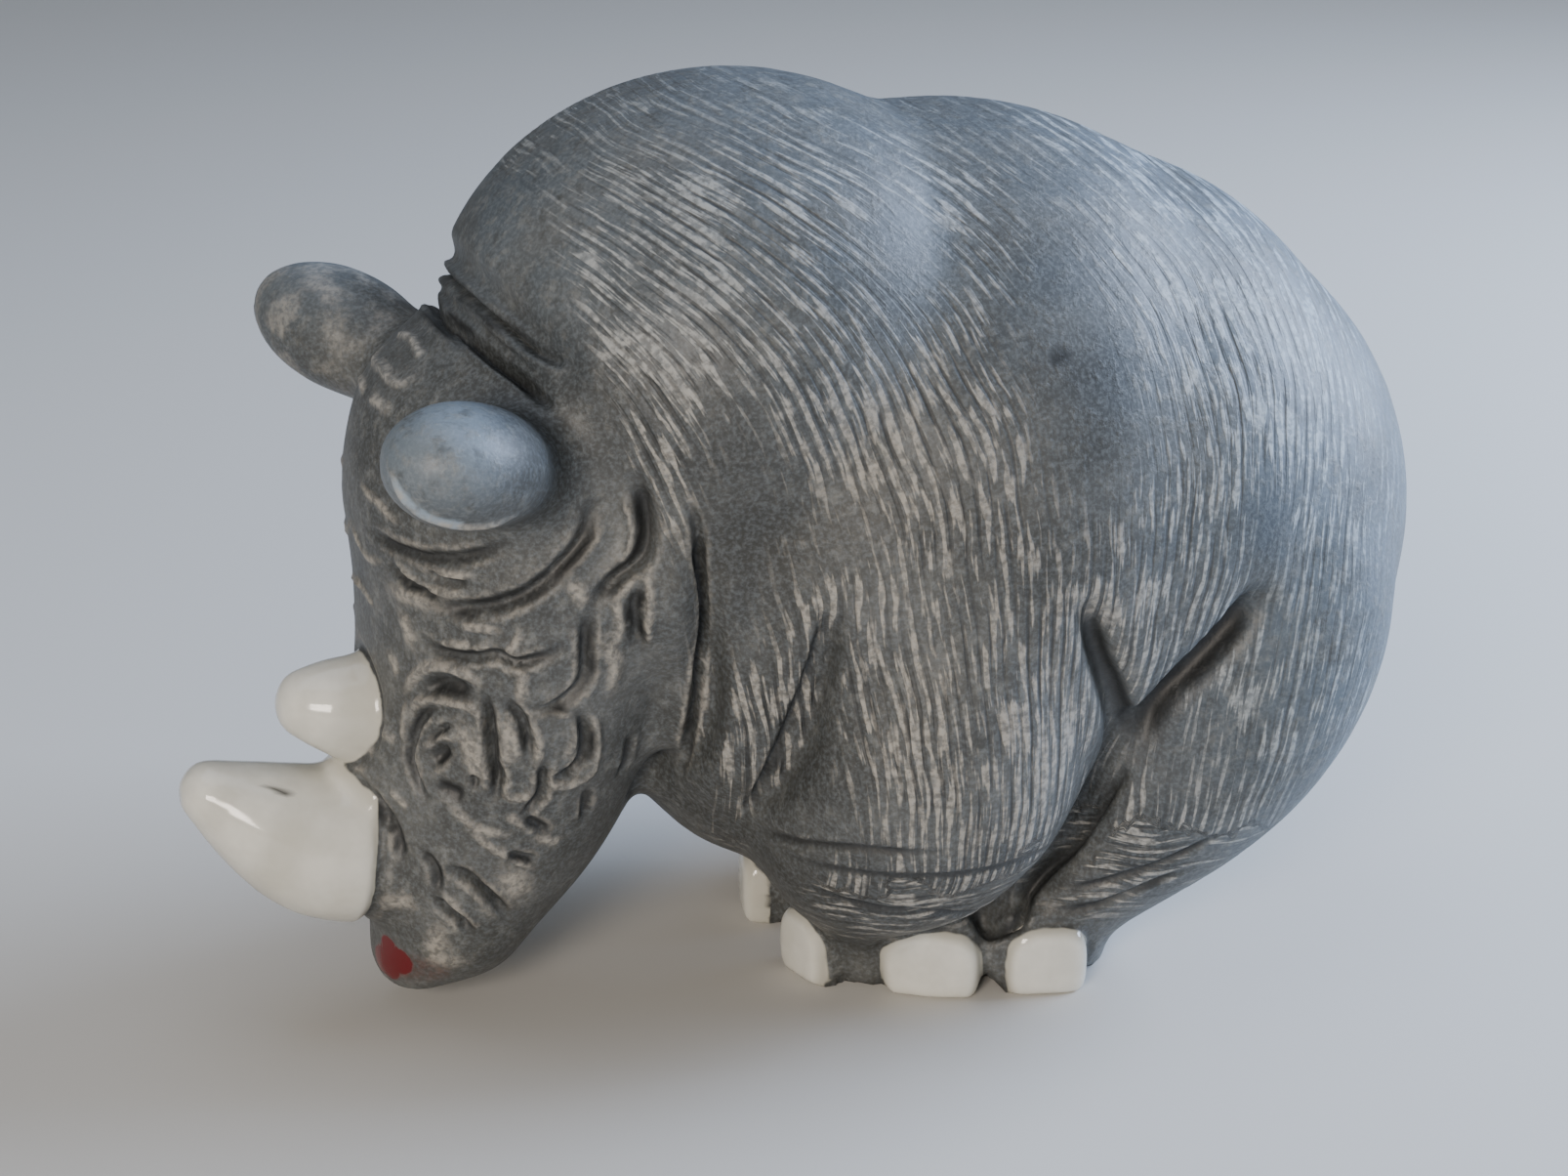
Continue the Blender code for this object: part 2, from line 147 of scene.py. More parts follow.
# Face and neck, first the grooves and then the ridges that the tool left beside them
WRINKLES = (
    Mark(G, 0.75, 0.8, (
        -21.9, -19.4, 52.7, -21.2, -19, 48.9, -21.6, -19.2, 46.2, -23.6, -18.6, 44.1, -25.4, -18.3, 42.3,
    )),
    Mark(G, 0.6, 0.6, (
        -25.8, -18.2, 41.3, -26, -17.8, 38.7, -25.9, -17.4, 35.9, -26.8, -17.1, 34.2, -28.6, -16.7, 32.9,
        -30, -16.4, 32.8,
    )),
    Mark(G, 0.7, 0.6, (
        -25.2, -18.2, 50.6, -26.2, -18.2, 47.7, -28.3, -18.2, 45.4, -31.4, -17.2, 43, -35, -14.7, 41.6,
        -37.3, -11.9, 41.6,
    )),
    Mark(G, 0.45, 0.4, (-39.5, -7.9, 43.5, -38.6, -9.7, 42.7, -37.6, -11.5, 42.4, -36.7, -12.8, 41.7)),
    Mark(G, 0.45, 0.4, (-37.5, -12, 44.3, -36.4, -13.4, 43.8, -34.9, -14.9, 44)),
    Mark(G, 0.5, 0.45, (
        -37.6, -10.9, 37.9, -36.7, -12.2, 37.3, -34.6, -14.5, 37.4, -33, -15.9, 37.8, -31.5, -16.6, 37.3,
        -29.3, -17.4, 37.8, -28.2, -17.7, 38.5,
    )),
    Mark(G, 0.6, 0.5, (-22, -19.2, 43.5, -22.2, -18.8, 41, -21.5, -17.7, 37.8)),
    Mark(G, 0.55, 0.7, (
        -26.2, -16.5, 31.9, -25.6, -15.8, 29.6, -25.6, -15.3, 28, -26.3, -15, 26.6, -27.7, -14.9, 25.9,
    )),
    Mark(G, 0.5, 0.4, (-21.1, -13.4, 28, -21.1, -12.5, 25.8, -21.7, -12.4, 24.5)),
    Mark(G, 0.45, 0.6, (-32.3, -15.7, 33.6, -31.2, -15.9, 32.2, -30.6, -15.6, 30.2, -30.4, -15.3, 28.5)),
    Mark(G, 0.45, 0.6, (-29.2, -15.2, 27.3, -29, -14.7, 25.4, -29.4, -14.2, 23.9, -30.4, -13.6, 22.5)),
    Mark(G, 0.5, 0.85, (
        -33.9, -14.7, 33.7, -33.5, -14.6, 32, -33.3, -14.4, 29.9, -33.2, -14.1, 28, -32.7, -13.9, 26.3,
        -32.9, -13.4, 24.3,
    )),
    Mark(G, 0.45, 0.4, (-25.1, -13.8, 23.9, -24.9, -13.2, 22.6, -24.9, -12.4, 20.9)),
    Mark(G, 0.75, 0.6, (-37.7, -10.5, 33.4, -36.7, -11.9, 34.3, -35.7, -13.1, 34.4, -34.8, -13.9, 33.9)),
    Mark(G, 0.4, 0.45, (
        -37.1, -11.2, 32.2, -38, -9.8, 30.6, -38.5, -9.2, 29, -38.8, -8.8, 27.1, -38.5, -9.4, 25.1,
        -37.8, -10.1, 23.5,
    )),
    Mark(G, 0.35, 0.35, (-36.1, -12.2, 30.9, -36.9, -11.2, 29.8, -37.5, -10.5, 28.9)),
    Mark(G, 0.75, 0.5, (-37.3, -10.7, 27.1, -36.8, -11.3, 27.9, -36.3, -11.8, 28.6)),
    Mark(G, 0.35, 0.4, (-34.5, -13, 26, -34.4, -13, 25.6)),
    Mark(G, 0.7, 0.35, (-37.1, -10.8, 24.9, -36, -11.7, 24.6, -35.2, -12.2, 24.1)),
    Mark(G, 0.5, 0.35, (-41.1, -5.7, 22.6, -40.6, -6.4, 20.5, -39.8, -7.5, 19.2)),
    Mark(G, 0.55, 0.8, (-36, -10.4, 16.9, -34.8, -10.9, 16.3, -33.2, -11, 14.5, -31.3, -10.2, 12)),
    Mark(G, 0.5, 0.65, (-37.2, -9.1, 13.8, -36.1, -9.4, 12.7, -35.2, -9.6, 11.8, -34.4, -9.4, 10.3)),
    Mark(G, 0.6, 0.45, (-40.9, -6, 21.7, -40.1, -7.2, 20.1, -39.5, -7.7, 17.4)),
    Mark(G, 0.5, 0.4, (-38.2, -9.2, 18.4, -37.3, -9.7, 16.8, -37, -9.4, 14.6)),
    Mark(G, 0.4, 0.35, (-31.2, -12.3, 18.4, -29.6, -12.2, 17.7)),
    Mark(G, 0.5, 0.4, (-30.4, -13.5, 22.1, -28.9, -13.2, 20.8, -29.2, -12.9, 20)),
    Mark(R, 0.5, 0.35, (-38.8, -8.3, 32.7, -38.2, -9.6, 34.6, -36.7, -12.1, 36, -35, -14.1, 35.7, -34.1, -14.7, 34.9)),
    Mark(R, 0.45, 0.3, (
        -38.6, -8.8, 31.1, -38.1, -9.7, 32.2, -36.7, -11.8, 32.9, -34.9, -13.7, 32.8, -34.1, -14.2, 31.7,
    )),
    Mark(R, 0.4, 0.3, (-38.8, -8.5, 31.6, -39, -8.3, 30, -39.1, -8.2, 28.4)),
    Mark(R, 1.1, 0.15, (-35.5, -12.8, 30.8, -34.8, -13.3, 29.5, -34.3, -13.4, 27.7, -33.9, -13.3, 26)),
    Mark(R, 0.4, 0.3, (-37.7, -10.3, 28.5, -36.7, -11.4, 29.6, -35.7, -12.6, 29.7)),
    Mark(R, 0.35, 0.2, (-37.3, -10.8, 26.1, -36.5, -11.6, 27.1, -35.8, -12.2, 28.4)),
    Mark(R, 0.8, 0.25, (-32.9, -15, 31.9, -31.8, -15.2, 30.2, -31.6, -15, 28.9, -32.6, -14.4, 28)),
    Mark(R, 0.5, 0.25, (-32.1, -16.2, 36.5, -31.2, -16.6, 36.2, -31.1, -16.4, 34.7, -31.3, -16.2, 33.7)),
    Mark(R, 0.4, 0.2, (-31.3, -17.1, 40.2, -31.6, -16.8, 39, -32.1, -16.4, 38.2, -31, -17, 38)),
    Mark(R, 0.4, 0.3, (-30.4, -16.1, 32.2, -29.6, -15.9, 30.2, -29.5, -15.6, 29.1, -29.7, -15.1, 27.2)),
    Mark(R, 0.35, 0.3, (-26.6, -16.4, 31.4, -26.7, -15.9, 29.6, -27.2, -15.5, 28.1)),
    Mark(R, 0.5, 0.3, (-24.9, -16.1, 31, -24.5, -15.2, 28.4, -24.8, -14.5, 25.9, -26.8, -14.6, 25, -28.4, -14.7, 25.3)),
    Mark(R, 0.35, 0.25, (-30, -16.3, 32.3, -28.6, -16.6, 32.4, -27.1, -16.6, 32.1)),
    Mark(R, 0.7, 0.25, (-24.3, -17.8, 39, -23.3, -16.9, 35.8, -23.7, -16.4, 33.7)),
    Mark(R, 0.45, 0.25, (-21.2, -19.6, 45.2, -21.1, -19.6, 42.1, -20.9, -18, 38.1)),
    Mark(R, 0.4, 0.2, (-23.7, -18.6, 42.5, -23.3, -18.4, 40.4, -23.3, -17.8, 38.5)),
    Mark(R, 0.7, 0.15, (-26.9, -18.3, 43.6, -26.3, -18.3, 42.6)),
    Mark(R, 0.35, 0.2, (-35.4, -14.1, 40.1, -33.7, -15.6, 40.1, -32.8, -16.2, 40)),
    Mark(R, 0.35, 0.2, (-36.4, -12.7, 38.2, -35.1, -14.2, 38.3)),
    Mark(R, 0.45, 0.2, (-34.3, -14.9, 38.2, -33.7, -15.5, 38.6)),
    Mark(R, 0.8, 0.25, (-39.5, -7, 41.3, -38.1, -10.5, 41.6, -36.5, -13, 41.6, -35.9, -13.9, 42.8)),
    Mark(R, 0.35, 0.2, (-38, -11.2, 44.5, -36.4, -13.5, 44.3, -34.6, -15.3, 44.6)),
    Mark(R, 0.8, 0.2, (-38.9, -8.4, 39.7, -38.6, -9, 38.1, -38.3, -9.5, 37.1)),
    Mark(R, 0.5, 0.15, (-39.6, -6, 35.2, -39.3, -7.1, 34.7, -39.4, -6.9, 33.7)),
    Mark(R, 0.5, 0.2, (-40.2, -5.9, 28.2, -39.8, -6.8, 28.3)),
    Mark(R, 0.4, 0.2, (-40, -7.4, 23.3, -39.3, -8.3, 22.6)),
    Mark(R, 0.5, 0.1, (-41.7, -3.8, 26.6, -41.3, -4.6, 26.2)),
    Mark(R, 0.4, 0.25, (-32.1, -14.1, 25.8, -31.8, -13.9, 24.5, -30.6, -14.1, 24.3, -29.7, -14.5, 25.1)),
    Mark(R, 0.45, 0.2, (-36, -11.5, 23, -34.2, -12.3, 21.4, -31.7, -12.8, 20.5)),
    Mark(R, 0.5, 0.1, (-31.4, -13.4, 22.2, -30.4, -13.4, 21.6)),
    Mark(R, 0.45, 0.25, (-34.6, -12, 21.1, -33.3, -12.2, 19.7, -31.5, -12.2, 18.3, -29.1, -11.8, 16.7)),
    Mark(R, 1.3, 0.1, (-31.6, -11.8, 16.8, -30.7, -11.3, 15.1, -30.1, -10.8, 13.6)),
    Mark(R, 0.35, 0.25, (-36.8, -9.5, 14.7, -35.3, -9.9, 12.9, -34, -9.7, 11.1)),
    Mark(R, 0.35, 0.25, (-34.5, -11.1, 16.8, -32.7, -11.2, 15.1, -31, -10.3, 12.4)),
    Mark(R, 0.9, 0.05, (-40.4, -6.3, 13, -39.2, -7, 12.9)),
    Mark(R, 0.9, 0.05, (-36.6, -8.7, 11.1, -36.9, -7.2, 7.6, -34.6, -7.9, 7)),
    Mark(R, 0.45, 0.35, (-22.7, -18.5, 51, -22.1, -18.6, 48.2, -22.7, -18.8, 46.2, -24, -18.5, 45)),
    Mark(R, 0.45, 0.3, (-24.9, -18.1, 49.3, -25.2, -18.2, 47.6, -27.4, -18.3, 45.4, -28.9, -18.1, 44.6)),
    Mark(R, 0.35, 0.2, (-37.5, -12, 44.6, -35.2, -14.7, 44.5)),
    Mark(R, 0.35, 0.25, (-39.3, -8.6, 44.2, -37.7, -11.4, 42.9, -35.9, -13.8, 42.7)),
    Mark(R, 0.4, 0.2, (-37.5, 1.8, 58.1, -37.6, -3.5, 57.7, -36.4, -5, 58.5)),
    Mark(R, 0.4, 0.2, (-35.1, 0, 60.3, -35.3, -3.2, 59.9)),
    Mark(R, 0.5, 0.2, (-39, -1.5, 56, -38.6, -4.6, 56)),
    Mark(R, 0.35, 0.15, (-41, 0, 45.1, -40.6, -3.2, 43.2, -40, -6.1, 43.5)),
    Mark(R, 0.35, 0.15, (-40.5, 0.4, 39.7, -40.2, -3.3, 39)),
    Mark(R, 0.5, 0.1, (-29, -12.8, 19.8, -27.5, -12.4, 19.1)),
)


def linear(code: str) -> tuple[float, float, float, float]:
    """Turns an sRGB hex colour into the linear values that a shader takes.

    Args:
        code: The colour as #rrggbb.

    Returns:
        Its linear red, green and blue, and an alpha of 1.
    """
    values = [int(code[i : i + 2], 16) / 255 for i in (1, 3, 5)]
    red, green, blue = (v / 12.92 if v <= 0.04045 else ((v + 0.055) / 1.055) ** 2.4 for v in values)
    return (red, green, blue, 1.0)


def smoothstep(low: float, high: float, values: Array) -> Array:
    """Rises smoothly from 0 at low to 1 at high."""
    t = np.clip((values - low) / (high - low), 0.0, 1.0)
    return t * t * (3.0 - 2.0 * t)


def curve_through(path: Path, spacing: float) -> Array:
    """Samples a smooth curve through a stroke's points.

    Args:
        path: X, Y and Z of each point in turn.
        spacing: The distance between samples.

    Returns:
        The samples, one row each.
    """
    knots = list(np.reshape(path, (-1, 3)).astype(float))
    knots = [2 * knots[0] - knots[1], *knots, 2 * knots[-1] - knots[-2]]
    samples = []
    for a, b, c, d in zip(knots, knots[1:], knots[2:], knots[3:]):
        count = max(2, int(np.linalg.norm(c - b) / spacing))
        square, cube = 2 * a - 5 * b + 4 * c - d, 3 * b - a - 3 * c + d
        samples += [0.5 * (2 * b + (c - a) * t + square * t**2 + cube * t**3) for t in np.arange(count) / count]
    samples.append(knots[-2])
    return np.array(samples)


def clay_noise(points: Array, wavelength: float, seed: int) -> Array:
    """Soft, even noise in space, the sum of plane waves in random directions.

    Args:
        points: Where it is wanted, one row each.
        wavelength: The size of its swells.
        seed: Which noise of many.

    Returns:
        A value for each point, mostly within -1 and 1.
    """
    waves, height = 14, 3.2
    rng = np.random.default_rng(seed)
    total = np.zeros(len(points))
    for _ in range(waves):
        way = rng.normal(size=points.shape[1])
        way /= np.linalg.norm(way)
        total += np.sin(points @ way * (2 * math.pi / (wavelength * rng.uniform(0.7, 1.5))) + rng.uniform(0, 6.3))
    return total / height


def skin_of(points: Array) -> KDTree:
    """Sorts the mesh's points so that the one nearest to a place is quickly found.

    Args:
        points: The mesh's points.

    Returns:
        The sorted points.
    """
    skin = KDTree(len(points))
    for number, point in enumerate(points):
        skin.insert(point, number)
    skin.balance()
    return skin


def back_from_face(points: Array) -> Array:
    """How far back each point lies, counted square to the slant of the neck."""
    slant, neck_height = 0.25, 58.0
    return points[:, 0] + slant * np.clip(points[:, 2] - neck_height, -40, 30)


@dataclass
class Clay:
    """The figurine's clay: a fine mesh over the part's solid, worked like leather-hard clay.

    Args:
        grain: The size of the mesh's cells while it is worked.
        triangles: How many triangles the finished mesh keeps.
        rubbed: Where the solid's own folds are rubbed soft before they are cut again.
        finger: The width of the finger that rubs them.
        near_passes: How often points are averaged with their neighbours for the form close by.
        broad_passes: The same for the form farther round.
        low: The corner of the solid's box with the least X, Y and Z.
        high: The opposite corner.
    """

    grain: float = 0.34
    quick_grain: float = 0.6
    triangles: int = 192000
    rubbed: tuple[Path, ...] = SOFTENED
    finger: float = 2.6
    near_passes: int = 8
    broad_passes: int = 36
    low: Array = field(init=False)
    high: Array = field(init=False)

    def refined(self, source: Piece) -> Piece:
        """Copies the part's solid and works it into a fine, even mesh.

        Args:
            source: The part's solid.

        Returns:
            The new object, with its own mesh.
        """
        mesh = source.data.copy()
        mesh.name = PIECE
        mesh.materials.clear()
        clay = bpy.data.objects.new(PIECE, mesh)
        bpy.context.scene.collection.objects.link(clay)
        corners = np.array([source.matrix_world @ v.co for v in source.data.vertices]) / MM
        self.low, self.high = corners.min(0), corners.max(0)
        weld = clay.modifiers.new("weld", "WELD")
        weld.merge_threshold = 0.02 * MM
        subdivide = clay.modifiers.new("subdivide", "SUBSURF")
        subdivide.levels = subdivide.render_levels = 2
        remesh = clay.modifiers.new("remesh", "REMESH")
        remesh.mode = "VOXEL"
        remesh.voxel_size = self.grain * MM
        ease = clay.modifiers.new("ease", "SMOOTH")
        ease.factor = 0.5
        ease.iterations = 6
        self.settle(clay)
        self.soften(clay)
        return clay

    def soften(self, clay: Piece) -> None:
        """Rubs the clay smooth with a wet finger along some lines."""
        points = self.points(clay)
        weight = np.zeros(len(points))
        reach = self.finger * 1.5
        for line in self.rubbed:
            for side in SIDES:
                path = curve_through(line, 1.0) * (1.0, -side, 1.0)
                boxed = np.all((points > path.min(0) - reach) & (points < path.max(0) + reach), axis=1)
                near = np.flatnonzero(boxed)
                gaps = np.min([np.linalg.norm(points[near] - p, axis=1) for p in path], axis=0)
                weight[near] = np.maximum(weight[near], smoothstep(reach, self.finger * 0.7, gaps))
        group = clay.vertex_groups.new(name="rubbed")
        levels = 10
        for level in range(1, levels + 1):
            chosen = np.flatnonzero(np.round(weight * levels) == level)
            if len(chosen):
                group.add(chosen.tolist(), level / levels, "REPLACE")
        rub = clay.modifiers.new("rub", "SMOOTH")
        rub.factor = 0.5
        rub.iterations = 70
        rub.vertex_group = group.name
        self.settle(clay)
        clay.vertex_groups.clear()

    @staticmethod
    def settle(clay: Piece) -> None:
        """Makes the object's modifiers part of its mesh."""
        graph = bpy.context.evaluated_depsgraph_get()
        graph.update()
        mesh = bpy.data.meshes.new_from_object(clay.evaluated_get(graph))
        clay.modifiers.clear()
        old = clay.data
        clay.data = mesh
        bpy.data.meshes.remove(old)
        mesh.name = PIECE

    @staticmethod
    def read(clay: Piece, name: str) -> Array:
        """Reads the mesh's points (co) or their outward directions (normal), one row each."""
        flat = np.empty(len(clay.data.vertices) * 3)
        clay.data.vertices.foreach_get(name, flat)
        return flat.reshape(-1, 3)

    def points(self, clay: Piece) -> Array:
        """The mesh's points in millimetres, one row each."""
        return self.read(clay, "co") / MM

    def normals(self, clay: Piece) -> Array:
        """The mesh's outward directions at its points, one row each."""
        return self.read(clay, "normal")

    @staticmethod
    def place(clay: Piece, points: Array) -> None:
        """Moves the mesh's points to new places in millimetres."""
        clay.data.vertices.foreach_set("co", (points * MM).ravel())
        clay.data.update()

    def hollows(self, clay: Piece) -> tuple[Array, Array]:
        """Finds how far each point lies below the form around it.

        Args:
            clay: The worked clay.

        Returns:
            The depth below the broad form, and below the near one without its own roundness.
        """
        points, normals = self.points(clay), self.normals(clay)
        ends = np.empty(len(clay.data.edges) * 2, int)
        clay.data.edges.foreach_get("vertices", ends)
        ends = ends.reshape(-1, 2)
        here, there = np.r_[ends[:, 0], ends[:, 1]], np.r_[ends[:, 1], ends[:, 0]]
        count = np.bincount(here, minlength=len(points))
        form = points.copy()
        for step in range(self.broad_passes):
            if step == self.near_passes:
                near = ((form - points) * normals).sum(1)
            around = np.stack([np.bincount(here, form[there, k], len(points)) for k in range(3)], axis=1)
            form = 0.4 * form + 0.6 * around / count[:, None]
        broad = ((form - points) * normals).sum(1)
        return broad, near - broad * self.near_passes / self.broad_passes

    def thinned(self, clay: Piece) -> None:
        """Keeps the triangles where the form turns and drops the rest."""
        count = sum(len(p.vertices) - 2 for p in clay.data.polygons)
        if count > self.triangles:
            thin = clay.modifiers.new("thin", "DECIMATE")
            thin.ratio = self.triangles / count
            self.settle(clay)


@dataclass
class Carving:
    """The modeller's strokes in the clay: folds, wrinkles and the rings round the eyes.

    Args:
        marks: Every stroke on the left side; each one is mirrored.
        pressure: How much deeper than its mark each stroke goes.
        breadth: How much wider than its mark each groove is.
        reach: How far from its middle a stroke is felt, in half widths, as the next lengths are.
        lip_place: Where a groove's lips stand.
        stain_edge: Where the stain along a stroke ends.
        stain_core: Where the stain is full.
        lip: How high the lips rise, as a share of the depth.
        stain_least: How dark the shallowest groove is, 0 to 1.
        spacing: The distance between samples along a stroke.
        cling: How closely a stroke follows the skin under it, 0 to 1.
    """

    marks: tuple[Mark, ...]
    pressure: float = 1.5
    breadth: float = 1.18
    reach: float = 2.6
    spacing: float = 0.15
    cling: float = 0.7
    lip: float = 0.16
    lip_place: float = 1.55
    stain_edge: float = 1.45
    stain_core: float = 0.25
    stain_least: float = 0.62

    def on_skin(self, mark: Mark, side: float, skin: KDTree) -> Array:
        """Lays a stroke's path on the clay, on one side of the animal, and gives its samples."""
        path = curve_through(mark.path, self.spacing) * (1.0, -side, 1.0)
        shift = np.array([skin.find(sample)[0] for sample in path]) - path
        window = min(11, len(path))
        padded = np.pad(shift, ((window // 2, window - 1 - window // 2), (0, 0)), "edge")
        even = np.ones(window) / window
        return path + self.cling * np.stack([np.convolve(padded[:, k], even, "valid") for k in range(3)], axis=1)

    def felt(self, points: Array, skin: KDTree, mark: Mark, side: float) -> tuple[Array, Array, Array]:
        """Finds the points that a stroke reaches.

        Args:
            points: The mesh's points.
            skin: The same points, sorted.
            mark: The stroke.
            side: Which side of the animal, -1 or 1.

        Returns:
            The points' numbers, their distances in half widths, and how strong the stroke is there.
        """
        path = self.on_skin(mark, side, skin)
        half_width = mark.half_width * (self.breadth if mark.tool is Tool.GROOVE else 1.0)
        margin = half_width * self.reach
        near = np.flatnonzero(np.all((points > path.min(0) - margin) & (points < path.max(0) + margin), axis=1))
        distance = np.empty(len(near))
        closest = np.empty(len(near), int)
        batch = 20000
        for start in range(0, len(near), batch):
            part = slice(start, start + batch)
            gaps = np.linalg.norm(points[near[part]][:, None, :] - path[None, :, :], axis=2)
            closest[part], distance[part] = gaps.argmin(1), gaps.min(1)
        along = closest / max(1, len(path) - 1)
        # The tool sinks in and lifts out over a fifth of a stroke, but a dab of two points is even
        fade = smoothstep(-0.02, 0.22, along) * smoothstep(1.02, 0.78, along)
        fade = 0.25 + 0.75 * fade if len(mark.path) > 6 else np.ones(len(along))
        inside = distance < margin
        return near[inside], distance[inside] / half_width, fade[inside]

    def strokes(self, points: Array) -> tuple[Array, Array, Array]:
        """Adds up what all strokes do.

        Args:
            points: The mesh's points.

        Returns:
            How far each point moves outward, how deep it lies in a groove and how high on a ridge, both 0 to 1.
        """
        push, groove, ridge = (np.zeros(len(points)) for _ in range(3))
        skin = skin_of(points)
        for mark in self.marks:
            for side in SIDES:
                near, distance, fade = self.felt(points, skin, mark, side)
                core = np.exp(-1.6 * distance**2) * fade
                stain = smoothstep(self.stain_edge, self.stain_core, distance) * fade
                depth = mark.depth * self.pressure
                if mark.tool is Tool.GROOVE:
                    lips = self.lip * np.exp(-2.4 * (distance - self.lip_place) ** 2) * fade
                    push[near] = np.minimum(push[near], -depth * core) + depth * lips * (push[near] > -0.1)
                    groove[near] = np.maximum(groove[near], stain * min(1.0, self.stain_least + mark.depth))
                else:
                    push[near] += depth * core
                    ridge[near] = np.maximum(ridge[near], stain)
        return push, groove, ridge


@dataclass(frozen=True)
class CombPatch:
    """A patch of the hide where the comb bit, or where it slid and left the wash thick.

    Args:
        centre: Its middle along X and Z.
        radii: Its reach along X and Z.
        strength: How strong it is in its middle, 0 to 1.
    """

    centre: tuple[float, float]
    radii: tuple[float, float]
    strength: float

    def clear(self, points: Array, power: float = 1.0) -> Array:
        """How free each point is of the patch, 0 to 1; with a higher power it ends more sharply."""
        reach = sum(((points[:, k] - c) / r) ** 2 for k, c, r in zip((0, 2), self.centre, self.radii))
        return 1 - self.strength * np.exp(-0.9 * reach**power)


@dataclass
class Comb:
    """The comb that was drawn down over the hide before firing, in hoops over the back.

    Args:
        pitch: The distance between its teeth.
        depth: How deep the lines are where it was pressed hardest.
        lean_height: The height from which the lines lean over.
        lean: How far they lean there, as a slope.
        lean_along: How much less for each millimetre towards the rump.
        lean_rise: How strongly they bend over near the top of the back.
        ankle_height: The height below which the comb ran round the ankles.
        patches: Where it bit.
        slid: Where it slid over the hide.
        painted_shade: Where painted shade darkens the wash, as between and low on the legs, under the head and beside
            the near ear; the shoulder's patch is the wash's own dark.
    """

    pitch: float = 1.15
    depth: float = 0.08
    lean_height: float = 45.0
    lean: float = 0.13
    lean_along: float = 0.009
    lean_rise: float = 0.00037
    ankle_height: float = 16.5
    patches: tuple[CombPatch, ...] = (
        CombPatch((-1, 55), (10, 13), 1), CombPatch((4, 33), (15, 16), 1), CombPatch((-21.5, 54), (5, 10), 1),
        CombPatch((-12, 33), (5, 12), 0.7), CombPatch((-11, 72), (13, 6.5), 0.85),
        CombPatch((-19, 64), (8, 6), 0.75), CombPatch((3, 68), (8, 6), 0.55), CombPatch((19, 70), (10, 6), 0.6),
        CombPatch((31, 58), (10, 14), 0.95), CombPatch((25, 41), (9, 12), 0.85), CombPatch((44, 48), (8, 14), 0.6),
        CombPatch((36, 24), (10, 8), 0.35), CombPatch((4, 14), (16, 6), 0.5), CombPatch((24, 13), (8, 6), 0.55),
    )
    slid: tuple[CombPatch, ...] = (
        CombPatch((13, 60), (6, 13.5), 0.97), CombPatch((-15, 50), (4.5, 11), 0.9), CombPatch((0, 69), (7, 5), 0.85),
        CombPatch((30.5, 45), (3.5, 6.5), 0.9), CombPatch((46, 43), (6, 12), 0.6),
        CombPatch((6, 43.5), (4.5, 3), 0.6), CombPatch((-13.5, 41), (3.5, 8), 0.75),
    )
    # Mostly painted shade, darker wash where shade falls between and low on the legs, under the head and beside the
    # near ear; the shoulder patch is the wash's own dark
    painted_shade: tuple[CombPatch, ...] = (
        CombPatch((24, 27), (4, 5), 0.8), CombPatch((21, 15), (4.5, 8), 0.8), CombPatch((2, 15.5), (14, 7), 0.85),
        CombPatch((-11, 27), (5, 9), 0.6), CombPatch((-27, 12), (8, 12), 0.4), CombPatch((-24, 60), (7, 5), 0.5),
        CombPatch((-13, 41), (4.5, 10), 0.85), CombPatch((-32.5, 52.5), (5.5, 2.8), 0.9),
        CombPatch((-30.6, 57.5), (3.4, 6), 0.97), CombPatch((6, 17), (12, 4), 0.6), CombPatch((4, 8), (22, 5), 0.5),
    )

    def across(self, points: Array) -> Array:
        """How far each point lies across the comb's lines."""
        x, z = points[:, 0], points[:, 2]
        rise = z - self.lean_height
        body = x + (self.lean - self.lean_along * x) * rise + self.lean_rise * np.clip(rise, 0, None) ** 3
        body = body + 0.16 * clay_noise(points, 9.0, 3)
        ankle = z * 1.02 + 0.3 * clay_noise(points, 8.0, 5)
        return np.where(self.on_ankles(points), ankle, body)

    def along(self, points: Array) -> Array:
        """How far each point lies along the comb's lines."""
        sideways = np.abs(points[:, 1])
        return np.where(self.on_ankles(points), points[:, 0] * 0.9 + sideways, points[:, 2] - 0.8 * sideways)

    def on_ankles(self, points: Array) -> Array:
        """True where the comb ran round the ankles."""
        edge = self.ankle_height + 1.3 * clay_noise(points, 6.0, 9)
        return (points[:, 2] < edge) & (points[:, 0] > -14.0)

    def strength(self, points: Array) -> Array:
        """How strongly the lines show at each point, 0 to 1."""
        left = math.prod((patch.clear(points) for patch in self.patches), start=1.0)
        swell = 0.5 + 0.5 * clay_noise(points, 13.0, 11)
        felt = (1 - left) * (0.72 + 0.5 * swell)
        for patch in self.slid:
            felt = felt * patch.clear(points, 1.5)
        return np.clip(felt * smoothstep(-25.0, -21.0, back_from_face(points)), 0.0, 1.0)

    def thick_wash_and_shade(self, points: Array) -> Array:
        """Where the wash stayed thick, and where painted shade darkens it, 0 to 1."""
        left = math.prod((patch.clear(points) for patch in (*self.slid, *self.painted_shade)), start=1.0)
        return np.clip((1 - left) * (0.8 + 0.3 * clay_noise(points, 9.0, 17)), 0.0, 1.0)

    def lines(self, points: Array) -> Array:
        """The lines' own height at each point, from -1 in a line to 0 between them."""
        broken = smoothstep(-0.5, 0.4, clay_noise(np.c_[points[:, 0], points[:, 2] / 6.0], 1.6, 21))
        return -(0.5 - 0.5 * np.cos(2 * math.pi * self.across(points) / self.pitch)) * broken


